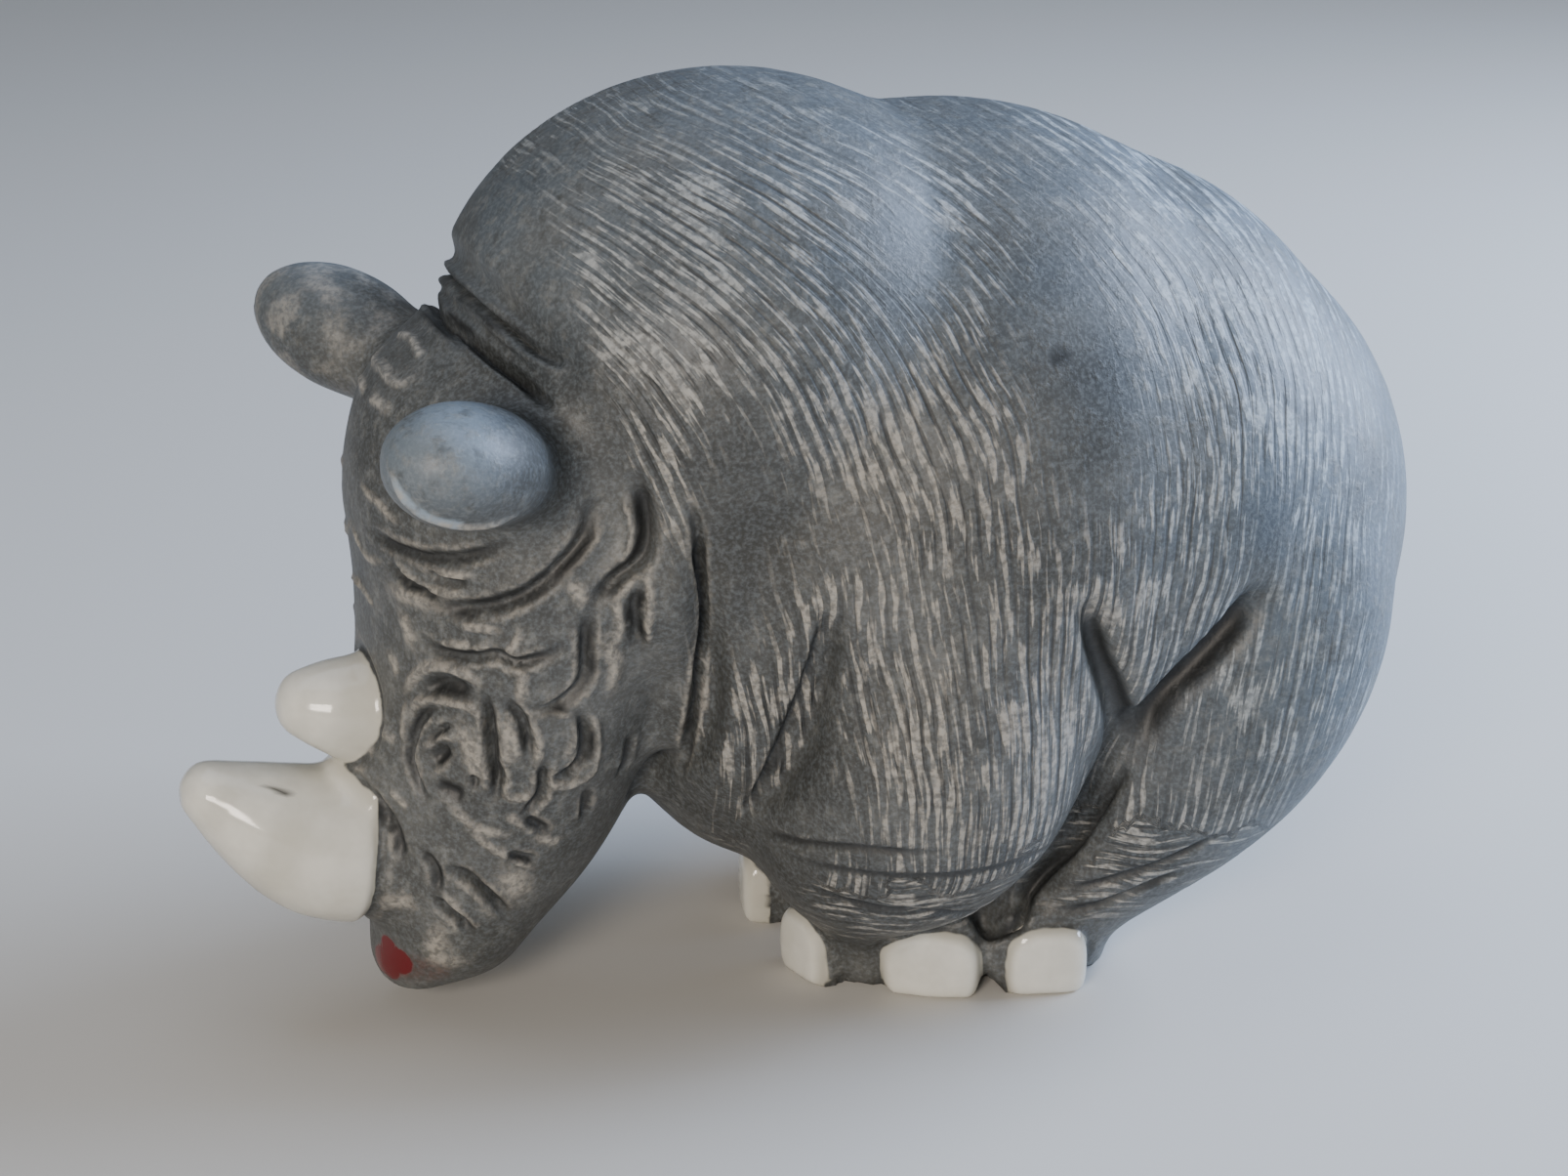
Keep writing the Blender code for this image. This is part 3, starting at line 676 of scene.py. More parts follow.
@dataclass(frozen=True)
class Horn:
    """A horn's ivory area: along a bent axis, ahead of a plane across its root.

    Args:
        axis: Points along its middle, root first, with the radius at each.
        root: A point on the plane where the ivory starts.
        way: The direction that the plane faces.
        margin: How far off the axis's skin a point may lie and still be horn.
    """

    axis: tuple[tuple[float, float, float, float], ...]
    root: Point
    way: Point
    margin: float

    def inside(self, points: Array) -> Array:
        """How far each point lies inside the ivory, less than 0 outside it."""
        stations = np.array(self.axis)
        off = np.full(len(points), np.inf)
        for a, b in zip(stations, stations[1:]):
            span = b[:3] - a[:3]
            t = np.clip(((points - a[:3]) @ span) / (span @ span), 0, 1)
            gap = np.linalg.norm(points - (a[:3] + t[:, None] * span), axis=1) - (a[3] + t * (b[3] - a[3]))
            off = np.minimum(off, gap)
        way = np.array(self.way) / np.linalg.norm(self.way)
        return np.minimum(self.margin - off, (points - np.array(self.root)) @ way)


@dataclass(frozen=True)
class Nail:
    """A toenail's ivory area: a squared oval on the front of a toe.

    Args:
        centre: Its middle on the ground plan.
        facing: The way it faces, in degrees from straight ahead towards the flank.
        half_width: Half its width.
        bottom: The height where it starts.
        top: The height where it ends.
        behind: How far behind its middle the ivory still runs.
        squareness: 2 for an oval, and more for squarer corners.
    """

    centre: tuple[float, float]
    facing: float
    half_width: float
    bottom: float
    top: float
    behind: float = 0.7
    squareness: int = 3

    def inside(self, points: Array) -> Array:
        """How far each point lies inside the ivory, on both sides of the animal, less than 0 outside it."""
        turn = math.radians(self.facing)
        out = np.array((-math.cos(turn), math.sin(turn)))
        across = np.array((-out[1], out[0]))
        plan = np.c_[points[:, 0], np.abs(points[:, 1])] - np.array(self.centre)
        half_height = 0.5 * (self.top - self.bottom)
        t = plan @ across / self.half_width
        h = (points[:, 2] - 0.5 * (self.bottom + self.top)) / half_height
        oval = 1.0 - (np.abs(t) ** self.squareness + np.abs(h) ** self.squareness) ** (1 / self.squareness)
        return np.minimum(oval * min(self.half_width, half_height), plan @ out + self.behind)


def add_node(tree: Tree, kind: str, *inputs: Any, **named: Any) -> bpy.types.Node:
    """Adds a shader node, sets it up and links it.

    Args:
        tree: The material's nodes.
        kind: The node's type, without the word ShaderNode.
        *inputs: Its inputs from the first on: a node or socket to link, a value, a hex colour, or None for neither.
        **named: Its own settings, in lower case, and inputs by name, with a capital and _ for a space.

    Returns:
        The new node. Where a node stands for a value, its first output is meant.
    """
    node = tree.nodes.new("ShaderNode" + kind)
    given: list[tuple[Any, Any]] = list(enumerate(inputs))
    for name, value in named.items():
        if name[0].islower():
            setattr(node, name, value)
        else:
            given.append((name.replace("_", " "), value))
    for key, value in given:
        if isinstance(value, bpy.types.Node):
            value = value.outputs[0]
        if isinstance(value, bpy.types.NodeSocket):
            tree.links.new(value, node.inputs[key])
        elif value is not None:
            node.inputs[key].default_value = linear(value) if isinstance(value, str) else value
    return node


@dataclass(frozen=True)
class Mottle:
    """An uneven pattern that the brush, the sponge or the kiln leaves in a glaze.

    Args:
        size: How wide its patches are.
        low: The noise level where it starts to show.
        high: The noise level where it is full.
        faint: Its strength below the low level.
        full: Its strength above the high level.
        detail: How many finer patterns lie in it.
    """

    size: float
    low: float
    high: float
    faint: float = 0.0
    full: float = 1.0
    detail: float = 3.0

    def spread(self, tree: Tree, place: Any) -> bpy.types.Node:
        """Lays the pattern over the piece.

        Args:
            tree: The material's nodes.
            place: Where on the piece, in millimetres or along its comb lines.

        Returns:
            The pattern's strength.
        """
        noise = add_node(tree, "TexNoise", Vector=place, Scale=1 / self.size, Detail=self.detail, Roughness=0.6)
        return add_node(
            tree, "MapRange", noise, self.low, self.high, self.faint, self.full, interpolation_type="SMOOTHSTEP",
        )


@dataclass(frozen=True)
class FiredGlaze:
    """Lead-free earthenware glazes, brushed on and fired once: slate wash, ivory on horn and nail, red on the lip.

    The slate wash is thin. It pools dark in grooves and comb lines, and the fired clay shows pale on every
    ridge that the sponge wiped, so carving and comb lines stand out to the eye. Painted shade darkens the broad
    hollows, and the wash between and low on the legs and beside the near ear; a painted cool tint lies over the
    rump and back, and a painted sheen on the ears. Its skin is satin and a little uneven, while ivory and red
    are thick and wet, with sharp highlights.

    Args:
        slate, slate_dark: The wash, and where the brush went over it twice.
        slate_cool_lit: The wash with the painted cool tint, where the cool light falls.
        olive, slate_deep: Wash that stayed thick, also used as painted shade, and the same under the painted cool tint.
        ear_sheen_colour, film: The painted sheen and highlight on the ears, and the film that the brush leaves.
        clay, grog_and_cool_lit_clay: The fired clay under the wash, and a cooler clay colour for the grog specks and
            for the painted cool tint on pale clay.
        pooled_and_shade: The wash that has run together in a groove, also used as painted shade in the broad hollows.
        ivory, ivory_shade: The ivory glaze, and where it thins out.
        red, rust: The red glaze, and red rubbed thin over the wash.
        glaze_ior: The index of refraction of a fired lead-free glaze.
        satin, bare, ear_sheen_rough, wet: The roughness of the wash, bare clay, the ears' painted sheen and thick
            glaze.
        coat, coat_rough: How much thin clear skin lies over all of it, and how rough it is.
        comb_pitch: The distance between the comb's lines.
        stretch: How much shorter a fleck is across the lines than along them.
        cloud: Unevenness of the brushed wash, a few brush widths (13 mm) across.
        blue_cloud: Patches in the painted cool tint, about 7 mm.
        brushed: Milky touches of the bristles, 1.2 mm.
        run: Dark runs between them, 1.5 mm.
        speckle: Pinholes and grog of about 0.1 mm, too fine to show, so they are drawn at 0.36 mm.
        wiped: Where the sponge took the wash off, a fingertip's 4.5 mm.
        rubbed: The sponge's pores, 0.6 mm.
        thinned: Where the ivory glaze ran thin, 4 mm.
        edge: How unsteady the brush was along an edge, over 2.4 mm.
        fleck: Single pale flecks on the comb's ridges, 0.5 mm wide.
        broken: Gaps in the dark lines, 0.9 mm wide.
    """

    slate: str = "#545553"
    slate_dark: str = "#3b3c3a"
    slate_cool_lit: str = "#515d68"
    slate_deep: str = "#39444f"
    olive: str = "#2b2b27"
    ear_sheen_colour: str = "#93a5b5"
    film: str = "#7c7d79"
    clay: str = "#a19c92"
    grog_and_cool_lit_clay: str = "#a0abb3"
    pooled_and_shade: str = "#171818"
    ivory: str = "#dcdbd2"
    ivory_shade: str = "#aeab9d"
    red: str = "#62141a"
    rust: str = "#5a3a30"
    glaze_ior: float = 1.5
    satin: float = 0.55
    bare: float = 0.68
    ear_sheen_rough: float = 0.4
    wet: float = 0.11
    coat: float = 0.08
    coat_rough: float = 0.35
    comb_pitch: float = 1.15
    stretch: float = 0.10

    cloud: Mottle = Mottle(13.0, 0.38, 0.64)
    blue_cloud: Mottle = Mottle(7.0, 0.30, 0.62, 0.35, 0.95)
    brushed: Mottle = Mottle(1.2, 0.46, 0.74, 0.0, 0.5, 4.0)
    run: Mottle = Mottle(1.5, 0.50, 0.72, 0.0, 0.6, 4.0)
    speckle: Mottle = Mottle(0.36, 0.36, 0.74, 0.0, 0.16, 2.0)
    wiped: Mottle = Mottle(4.5, 0.36, 0.64, 0.25, 1.0, 4.0)
    rubbed: Mottle = Mottle(0.6, 0.36, 0.62, 0.3, 1.0, 4.0)
    thinned: Mottle = Mottle(4.0, 0.3, 0.7, 0.0, 0.3)
    edge: Mottle = Mottle(2.4, 0.3, 0.7, -0.07, 0.07, 1.0)
    fleck: Mottle = Mottle(0.5, 0.27, 0.73, 0.0, 1.0, 1.6)
    broken: Mottle = Mottle(0.9, 0.40, 0.56, 0.0, 1.0, 2.0)

    @staticmethod
    def lay_coats(tree: Tree, base: Any, *coats: tuple[Any, Any]) -> Any:
        """Lays coats, each a cover and a colour, over a base colour, and gives the colour that is seen."""
        for cover, colour in coats:
            seen = add_node(tree, "Mix", cover, None, None, None, None, None, base, colour, data_type="RGBA")
            base = seen.outputs[2]
        return base

    @staticmethod
    def overlap(tree: Tree, *covers: Any) -> Any:
        """Finds where all of some covers lie over one another."""
        shared = covers[0]
        for cover in covers[1:]:
            shared = add_node(tree, "Math", shared, cover, operation="MULTIPLY")
        return shared

    def combed(self, tree: Tree, comb: Any, wiped: Any) -> tuple[Any, Any]:
        """Finds what the comb and the sponge left on the hide.

        Args:
            tree: The material's nodes.
            comb: The mesh's comb layer: across the lines, along them, and how strongly they show.
            wiped: Where the sponge took the wash off.

        Returns:
            The cover of pale flecks on the ridges, and of dark wash in the lines.
        """
        across, along, strength = (comb[name] for name in "XYZ")
        # Long flecks that follow the lines, and keep to the ridges between them
        drawn_out = add_node(tree, "Math", along, self.stretch, operation="MULTIPLY")
        strokes = add_node(tree, "CombineXYZ", across, drawn_out)
        phase = add_node(tree, "Math", across, 2 * math.pi / self.comb_pitch, operation="MULTIPLY")
        tooth = add_node(tree, "Math", phase, operation="COSINE")
        on_ridge = add_node(tree, "Math", tooth, 0.13, self.fleck.spread(tree, strokes), operation="MULTIPLY_ADD")
        worn = self.overlap(tree, strength, wiped)
        covered = add_node(tree, "Math", worn, 0.57, on_ridge, operation="MULTIPLY_ADD")
        flecks = add_node(tree, "MapRange", covered, 0.74, 1.02, interpolation_type="SMOOTHSTEP")
        in_line = add_node(tree, "MapRange", tooth, -0.35, -0.95, interpolation_type="SMOOTHSTEP")
        shown = self.overlap(tree, flecks, add_node(tree, "MapRange", strength, 0.05, 0.45))
        return shown, self.overlap(tree, in_line, strength, self.broken.spread(tree, strokes))

    def painted(self, tree: Tree, layers: dict[str, Any], place: Any) -> tuple[Any, Any]:
        """Finds where the ivory and red glazes lie.

        Args:
            tree: The material's nodes.
            layers: The mesh's layers.
            place: Where on the piece, in millimetres.

        Returns:
            The covers of ivory, red and smeared red, and the ivory glaze's own colour.
        """
        covers, edge = [], self.edge.spread(tree, place)
        for name, low, high in (("X", -0.06, 0.10), ("Y", -0.15, 0.2), ("Z", -0.5, 1.0)):
            uneven = add_node(tree, "Math", layers["areas"][name], edge, operation="ADD")
            covers.append(add_node(tree, "MapRange", uneven, low, high, interpolation_type="SMOOTHSTEP"))
        thin_edge = add_node(
            tree, "MapRange", layers["areas"]["X"], 0.9, 0.0, 0.0, 0.75, interpolation_type="SMOOTHSTEP",
        )
        thin = ((thin_edge, self.ivory_shade), (self.thinned.spread(tree, place), self.ivory_shade))
        return covers, self.lay_coats(tree, self.ivory, *thin)

    def make(self) -> bpy.types.Material:
        """Builds the material.

        Returns:
            The finished material.
        """
        material = bpy.data.materials.new("fired_earthenware_glaze")
        material.use_nodes = True
        tree = material.node_tree
        tree.nodes.clear()
        layers = {}
        for name in ("comb", "marks", "areas", "spots"):
            layer = add_node(tree, "Attribute", attribute_name=name)
            layers[name] = add_node(tree, "SeparateXYZ", layer.outputs["Vector"]).outputs
        groove, ridge, speck = (layers["marks"][name] for name in "XYZ")
        # The painted cool tint, the ears' painted sheen, and the thick wash with painted shade
        blue, ear, thick_wash_and_shade = (layers["spots"][name] for name in "XYZ")
        metres = add_node(tree, "TexCoord").outputs["Object"]
        place = add_node(tree, "VectorMath", metres, operation="SCALE", Scale=1 / MM)

        # The slate wash, cloudy from the brush, with a painted cool tint where the cool light falls on the rump and
        # back, a painted sheen on the ears and painted shade between the legs and in the broad hollows, worn off to
        # pale clay on ridges and pooled dark in lines and grooves
        cool_light_tint = self.overlap(tree, blue, self.blue_cloud.spread(tree, place))
        rubbed, brushed, speckle = (m.spread(tree, place) for m in (self.rubbed, self.brushed, self.speckle))
        flecks, lines = self.combed(tree, layers["comb"], self.wiped.spread(tree, place))
        on_ridges = self.overlap(tree, ridge, rubbed)
        # Pale clay with the painted cool tint where the cool light falls
        clay = self.lay_coats(tree, self.clay, (blue, self.grog_and_cool_lit_clay))
        wash = self.lay_coats(
            tree, self.slate_dark,
            (self.cloud.spread(tree, place), self.slate),
            (cool_light_tint, self.slate_cool_lit),
            # Painted sheen and highlight on the ears
            (self.overlap(tree, ear, 0.75), self.ear_sheen_colour),
            (brushed, self.film),
            (self.run.spread(tree, place), self.slate_dark),
            # Thick wash, and painted shade between and low on the legs and beside the near ear
            (self.overlap(tree, thick_wash_and_shade, 0.92), self.lay_coats(tree, self.olive, (cool_light_tint, self.slate_deep))),
            (self.overlap(tree, flecks, rubbed, 0.9), clay),
            (speckle, self.grog_and_cool_lit_clay),
            (self.overlap(tree, lines, 0.74), self.pooled_and_shade),
            (self.overlap(tree, on_ridges, 0.88), clay),
            # Dark wash pooled in grooves, and painted shade in the broad hollows
            (self.overlap(tree, groove, 0.97), self.pooled_and_shade),
        )

        # Ivory on horns and nails, thin and darker at its edge, and red rubbed out over the lip
        (ivory, red, smear), ivory_glaze = self.painted(tree, layers, place)
        colour = self.lay_coats(
            tree, wash,
            (self.overlap(tree, smear, 0.5, rubbed), self.rust),
            (ivory, ivory_glaze),
            (red, self.red),
            (self.overlap(tree, speck, 0.9), self.pooled_and_shade),
        )

        # Thick glaze is wet and level; the wash is satin, and duller where clay shows
        thick = add_node(tree, "Math", ivory, red, operation="MAXIMUM")
        dull = add_node(tree, "Math", flecks, on_ridges, operation="MAXIMUM")
        skin = add_node(tree, "MapRange", dull, 0.0, 1.0, self.satin, self.bare)
        skin = add_node(tree, "Mix", self.overlap(tree, ear, 0.7), None, skin, self.ear_sheen_rough, data_type="FLOAT")
        roughness = add_node(tree, "Mix", thick, None, skin, self.wet, data_type="FLOAT")

        # Worn clay, bristle touches and grog stand up a little, and lines lie lower, in millimetres
        raised = 0.0
        for layer, height in ((flecks, 0.06), (lines, -0.10), (brushed, 0.10), (speckle, 0.06)):
            raised = add_node(tree, "Math", layer, height, raised, operation="MULTIPLY_ADD")
        level = add_node(tree, "Math", 1.0, thick, operation="SUBTRACT")
        relief = add_node(tree, "Bump", Strength=0.8, Distance=MM, Height=self.overlap(tree, raised, level))
        surface = add_node(
            tree, "BsdfPrincipled", Base_Color=colour, Roughness=roughness, IOR=self.glaze_ior, Metallic=0.0,
            Coat_Weight=self.coat, Coat_Roughness=self.coat_rough, Normal=relief,
        )
        add_node(tree, "OutputMaterial", surface)
        return material


@dataclass
class Figurine:
    """The whole animal: one casting, carved, combed and glazed.

    Args:
        clay: The clay that it is made of.
        carving: The modeller's strokes in it.
        comb: The comb's lines on its hide.
        glaze: Its finish.
        horns, nails: The ivory areas.
        lip_spot, lip_spot_size: The middles of the red daubs on the lip, and their reach.
        lip_smear, lip_smear_size: The same for the smear behind them.
        nicks, nick_size: The same for the dark nicks on the long horn and the flank.
        ear_dome, ear_radii: The middle of an ear's dome, and how far its painted sheen reaches.
        ear_rim_highlight: The painted highlight along the rim under the near ear, X, Y and Z of each point.
        far_ear, far_ear_size: The middle of the far ear's rubbed patches, and their reach.
        rim_depth: How deep the clay is cut round the edge of the ivory.
        glaze_rise: How far thick glaze stands out.
        sole_height: The height below which the soles stay flat.
    """

    clay: Clay = field(default_factory=Clay)
    carving: Carving = field(default_factory=lambda: Carving(FOLDS + WRINKLES))
    comb: Comb = field(default_factory=Comb)
    glaze: FiredGlaze = field(default_factory=FiredGlaze)
    horns: tuple[Horn, ...] = (
        Horn(
            (
                (-38.0, 0.0, 16.2, 7.0), (-42.0, 0.0, 16.3, 7.0), (-45.0, 0.0, 16.8, 6.7), (-50.0, 0.0, 19.6, 5.2),
                (-54.5, 0.0, 22.8, 2.75),
            ),
            (-41.5, 0.0, 17.0), (-1.0, 0.0, 0.12), 0.9,
        ),
        Horn(
            ((-37.0, 0.0, 28.2, 3.7), (-40.5, 0.0, 28.4, 4.2), (-43.7, 0.0, 29.0, 4.0), (-45.9, 0.0, 29.5, 2.95)),
            (-40.3, 0.0, 28.0), (-1.0, 0.0, 0.1), 0.7,
        ),
    )
    nails: tuple[Nail, ...] = (
        Nail((-2.4, 6.8), 15.0, 3.3, -1.5, 6.3),
        Nail((6.5, 13.6), 62.0, 4.5, -1.5, 6.4),
        Nail((16.2, 16.5), 76.0, 3.8, -1.5, 6.4),
    )
    lip_spot: tuple[Point, ...] = ((-40.1, -3.3, 7.0), (-40.1, -3.2, 5.2), (-40.6, -1.7, 5.4), (-39.4, -4.6, 6.3))
    lip_spot_size: float = 1.3
    lip_smear: tuple[Point, ...] = ((-39.2, -5.0, 5.6), (-38.0, -6.0, 6.0), (-37.0, -6.6, 5.6))
    lip_smear_size: float = 1.6
    nicks: tuple[Point, ...] = (
        (-49.0, -3.2, 23.1), (-48.4, -3.1, 22.9), (11.4, -25.4, 61.1), (12.0, -25.3, 61.2), (12.5, -25.2, 61.0),
    )
    nick_size: float = 0.5
    ear_dome: Point = (-38.0, 23.5, 58.6)
    ear_radii: Point = (5.8, 6.0, 4.2)
    ear_rim_highlight: tuple[Point, ...] = (
        (-43.0, -25.6, 56.6), (-42.6, -25.9, 55.6), (-41.2, -26.1, 54.2), (-40.0, -26.1, 53.5), (-38.6, -26.1, 53.0),
    )
    far_ear: Point = (-38.0, 22.0, 58.6)
    far_ear_size: float = 8.5
    rim_depth: float = 0.45
    glaze_rise: float = 0.25
    sole_height: float = 0.25

    def ivory(self, points: Array) -> Array:
        """How far each point lies inside the nearest ivory area, less than 0 outside it."""
        inside = [area.inside(points) for area in (*self.horns, *self.nails)]
        return np.clip(np.max(inside, axis=0), -4.0, 4.0)

    @staticmethod
    def spot(points: Array, middles: Any, radius: float) -> Array:
        """How far each point lies inside a daub round some middles, less than 0 outside it."""
        gaps = [np.linalg.norm(points - np.array(middle), axis=1) for middle in middles]
        return np.clip(radius - np.min(gaps, axis=0), -4.0, 4.0)

    def specks(self, points: Array) -> Array:
        """Where the small dark nicks are, 0 to 1."""
        skin = skin_of(points)
        return smoothstep(0.0, 0.3, self.spot(points, [skin.find(nick)[0] for nick in self.nicks], self.nick_size))

    @staticmethod
    def cool_light_tint(points: Array) -> Array:
        """How strong the painted cool tint is: over the rump and the back, where the cool light falls, 0 to 1."""
        rump = smoothstep(6.0, 38.0, points[:, 0] + 0.25 * (points[:, 2] - 45.0))
        top = 0.6 * smoothstep(50.0, 74.0, points[:, 2])
        return np.maximum(rump, top)

    def ear_painted_sheen(self, points: Array) -> Array:
        """How strong the painted sheen is: on the domes of the ears, less on the far one and towards the back, and a
        painted highlight along the near one's rim, 0 to 1.
        """
        sideways = np.abs(points[:, 1])
        across = np.c_[points[:, 0], sideways, points[:, 2]] - np.array(self.ear_dome)
        dome = np.exp(-1.1 * ((across / np.array(self.ear_radii)) ** 2).sum(1))
        dome *= smoothstep(5.6, 0.6, across[:, 0]) * np.where(points[:, 1] > 0, 0.3, 1.0)
        left = np.c_[points[:, 0], -sideways, points[:, 2]]
        return np.maximum(dome, smoothstep(-0.2, 0.3, self.spot(left, curve_through(self.ear_rim_highlight, 0.3), 0.6)))

    def ridges(self, points: Array, ridge: Array, near: Array) -> Array:
        """Finds every ridge that the sponge wiped bare.

        Args:
            points: The mesh's points.
            ridge: The strokes' own ridges, 0 to 1.
            near: How far each point lies below the form close by.

        Returns:
            A value for each point, 0 to 1.
        """
        face = smoothstep(-17.0, -22.0, back_from_face(points)) * smoothstep(56.0, 50.0, points[:, 2])
        wiped = np.maximum(ridge, 0.85 * face * smoothstep(0.03, 0.16, -near))
        far_ear = np.exp(-((np.linalg.norm(points - np.array(self.far_ear), axis=1) / self.far_ear_size) ** 6))
        return np.maximum(wiped, 0.62 * far_ear * smoothstep(-0.1, 0.7, clay_noise(points, 3.4, 27)))

    def worked(self) -> Piece:
        """Refines the solid, carves it and combs it.

        Returns:
            The worked clay.
        """
        clay = self.clay.refined(bpy.data.objects[NODE])
        points = self.clay.points(clay)
        push, groove, _ = self.carving.strokes(points)
        ivory = self.ivory(points)
        rim = -self.rim_depth * np.exp(-(((ivory + 0.35) / 0.45) ** 2))
        proud = self.glaze_rise * smoothstep(0.0, 0.9, ivory)
        plain = smoothstep(0.3, -0.6, ivory) * (1 - np.clip(groove * 2, 0, 1))
        combed = self.comb.depth * self.comb.strength(points) * self.comb.lines(points) * plain
        outward = push * smoothstep(0.8, -0.4, ivory) + rim + proud + combed
        moved = points + self.clay.normals(clay) * outward[:, None]
        flat_sole = points[:, 2] < self.sole_height
        moved[flat_sole] = points[flat_sole]
        moved[flat_sole, 2] = self.clay.low[2]
        self.clay.place(clay, np.clip(moved, self.clay.low, self.clay.high))
        self.clay.thinned(clay)
        clay.data.shade_smooth()
        return clay

    def painted(self, clay: Piece) -> None:
        """Writes the strokes, comb lines and glaze areas on the mesh for the glaze to read."""
        points = self.clay.points(clay)
        _, groove, ridge = self.carving.strokes(points)
        broad, near = self.clay.hollows(clay)
        # Dark wash pooled in the grooves, and painted shade across the broad hollows of gashes and folds
        groove = np.maximum(groove, smoothstep(0.15, 0.95, broad))
        ridge = self.ridges(points, ridge * (1 - groove), near)
        # A comb drawn down the flank slides over what faces straight ahead or back
        endwise = smoothstep(0.92, 0.62, np.abs(self.clay.normals(clay)[:, 0]))
        strength = self.comb.strength(points) * (1 - np.clip(1.3 * groove, 0, 1)) * endwise
        red = self.spot(points, self.lip_spot, self.lip_spot_size)
        smear = self.spot(points, self.lip_smear, self.lip_smear_size)
        layers = {
            "comb": (self.comb.across(points), self.comb.along(points), strength),
            "marks": (groove, ridge, self.specks(points)),
            "areas": (self.ivory(points), red, smear),
            # Painted cool tint, painted sheen on the ears, and thick wash with painted shade
            "spots": (self.cool_light_tint(points), self.ear_painted_sheen(points), self.comb.thick_wash_and_shade(points)),
        }
        for name, values in layers.items():
            layer = clay.data.attributes.new(name, "FLOAT_VECTOR", "POINT")
            layer.data.foreach_set("vector", np.stack(values, axis=1).astype(np.float32).ravel())

    def build(self) -> Piece:
        """Makes the figurine and puts it in place of the part's solid.

        Returns:
            The finished piece.
        """
        clay = self.worked()
        self.painted(clay)
        clay.data.materials.clear()
        clay.data.materials.append(self.glaze.make())
        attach(clay, "root")
        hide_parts(NODE)
        return clay


@dataclass(frozen=True)
class SoftLamp:
    """A large soft lamp.

    Args:
        name: Its name.
        place: Where it stands, in metres.
        size: Its side, in metres.
        power: Its power in watts.
        colour: Its colour as sRGB hex.
    """

    name: str
    place: Point
    size: float
    power: float
    colour: str

    def hang(self, aim: Vector) -> None:
        """Hangs the lamp.

        Args:
            aim: The point that it shines at, in metres.
        """
        data = bpy.data.lights.new(self.name, "AREA")
        data.energy = self.power
        data.size = self.size
        data.color = linear(self.colour)[:3]
        lamp = bpy.data.objects.new(self.name, data)
        lamp.location = self.place
        lamp.rotation_mode = "QUATERNION"
        lamp.rotation_quaternion = (aim - Vector(self.place)).to_track_quat("-Z", "Y")
        bpy.context.scene.collection.objects.link(lamp)


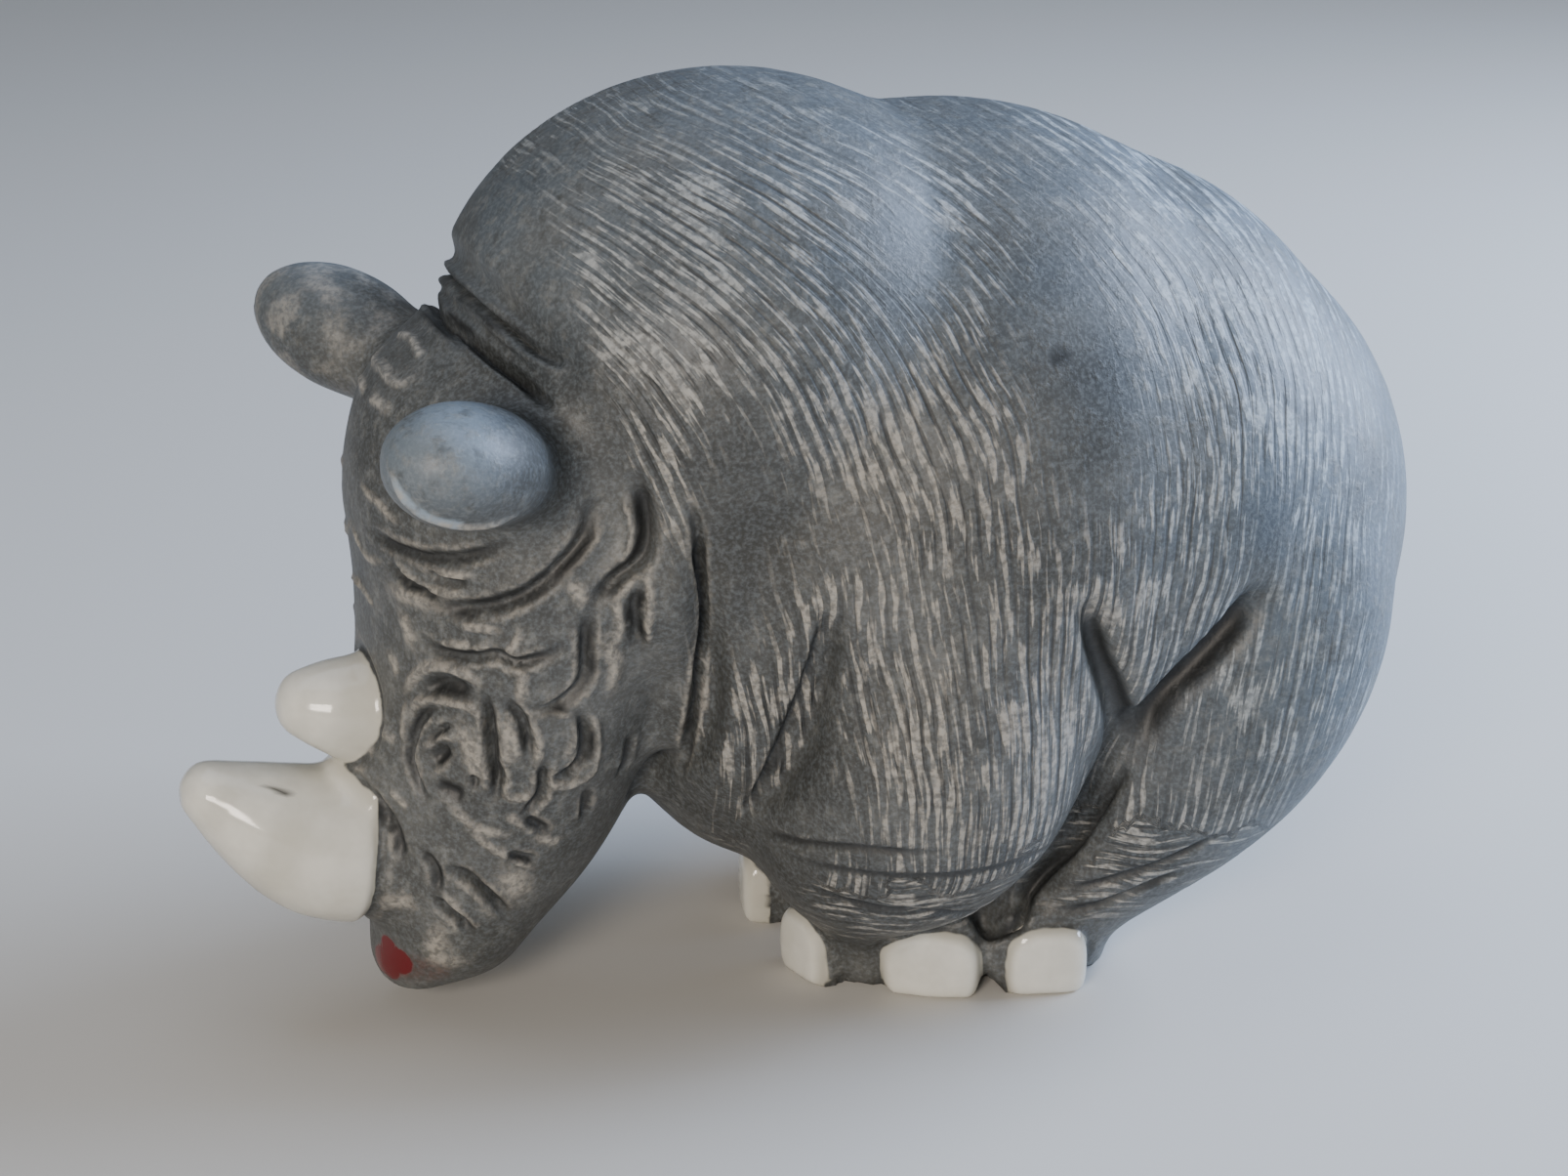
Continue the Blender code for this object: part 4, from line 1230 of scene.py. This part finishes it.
@dataclass
class Studio:
    """A plain pale floor, soft lamps and the camera.

    Args:
        target: The point that the camera looks at.
        azimuth: The camera's turn from the left flank, in degrees, less than 0 towards the head.
        elevation: How far above level it stands, in degrees.
        distance: How far it stands from its target.
        sensor: The camera's sensor width.
        mm_per_pixel: The picture's scale at the target.
        picture_width: The picture's width in pixels.
        paper, matt: The colour and roughness of the floor, of matt card that gives no highlight.
        lamps: The lamps.
        aim: The point that they shine at, in metres.
        room_colour: The colour of the light from all round.
        room_light: Its strength.
    """

    target: Point = (-2.516, 0.0, 34.4)
    azimuth: float = -20.0
    elevation: float = 20.0
    distance: float = 300.0
    sensor: float = 36.0
    mm_per_pixel: float = 0.086
    picture_width: int = 1606
    paper: str = "#c9c7c2"
    matt: float = 0.7
    lamps: tuple[SoftLamp, ...] = (
        SoftLamp("window", (0.42, 0.00, 0.22), 0.30, 6.0, "#cde0ff"),
        SoftLamp("ceiling", (-0.05, 0.06, 0.50), 0.40, 0.7, "#e2ecff"),
        SoftLamp("wall", (-0.30, -0.42, 0.20), 0.16, 2.3, "#fff3e6"),
    )
    aim: Point = (0.0, 0.0, 0.035)
    room_colour: str = "#e6ebf0"
    room_light: float = 0.22

    def floor(self) -> Piece:
        """Lays a wide floor with a sweep at its back, in metres.

        Returns:
            The floor.
        """
        far, near, side, rise, height_behind, steps = 0.9, -1.6, 2.2, 0.35, 1.8, 8
        turns = [math.pi / 2 * step / steps for step in range(steps + 1)]
        sweep = [(far + rise * math.sin(turn), rise * (1 - math.cos(turn))) for turn in turns]
        profile = [(near, 0.0), *sweep, (far + rise, height_behind)]
        turn = math.radians(self.azimuth)
        points = [
            (
                across * math.cos(turn) - depth * math.sin(turn),
                across * math.sin(turn) + depth * math.cos(turn),
                height - 0.02 * MM,
            )
            for depth, height in profile
            for across in (-side, side)
        ]
        faces = [(2 * k, 2 * k + 1, 2 * k + 3, 2 * k + 2) for k in range(len(profile) - 1)]
        mesh = bpy.data.meshes.new("studio_floor")
        mesh.from_pydata(points, [], faces)
        mesh.shade_smooth()
        card = bpy.data.materials.new("matt_card")
        card.use_nodes = True
        shader = card.node_tree.nodes["Principled BSDF"]
        shader.inputs["Base Color"].default_value = linear(self.paper)
        shader.inputs["Roughness"].default_value = self.matt
        mesh.materials.append(card)
        floor = bpy.data.objects.new("studio_floor", mesh)
        bpy.context.scene.collection.objects.link(floor)
        return floor

    def light(self) -> None:
        """Hangs the lamps and sets the room's own light."""
        for lamp in self.lamps:
            lamp.hang(Vector(self.aim))
        world = bpy.data.worlds.new("studio_room")
        world.use_nodes = True
        background = world.node_tree.nodes["Background"]
        background.inputs["Color"].default_value = linear(self.room_colour)
        background.inputs["Strength"].default_value = self.room_light
        bpy.context.scene.world = world

    def camera(self) -> Piece:
        """Sets the camera at the photograph's viewing angle.

        Returns:
            The camera.
        """
        azimuth, elevation = math.radians(self.azimuth), math.radians(self.elevation)
        back = Vector((
            math.sin(azimuth) * math.cos(elevation),
            -math.cos(azimuth) * math.cos(elevation),
            math.sin(elevation),
        ))
        data = bpy.data.cameras.new("camera")
        data.sensor_width = self.sensor
        data.lens = self.distance / self.mm_per_pixel / self.picture_width * self.sensor
        data.clip_start = 10 * MM
        camera = bpy.data.objects.new("camera", data)
        camera.location = (Vector(self.target) + back * self.distance) * MM
        camera.rotation_mode = "QUATERNION"
        camera.rotation_quaternion = (-back).to_track_quat("-Z", "Y")
        bpy.context.scene.collection.objects.link(camera)
        bpy.context.scene.camera = camera
        return camera


def main() -> None:
    """Builds the studio and the figurine."""
    logging.basicConfig(level=logging.INFO, format="%(name)s: %(message)s")
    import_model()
    studio = Studio()
    studio.floor()
    studio.light()
    studio.camera()
    LOG.info("studio: floor, %d lamps, camera", len(studio.lamps))
    piece = Figurine().build()
    LOG.info("%s: %d faces", piece.name, len(piece.data.polygons))


if __name__ == "__main__":
    main()
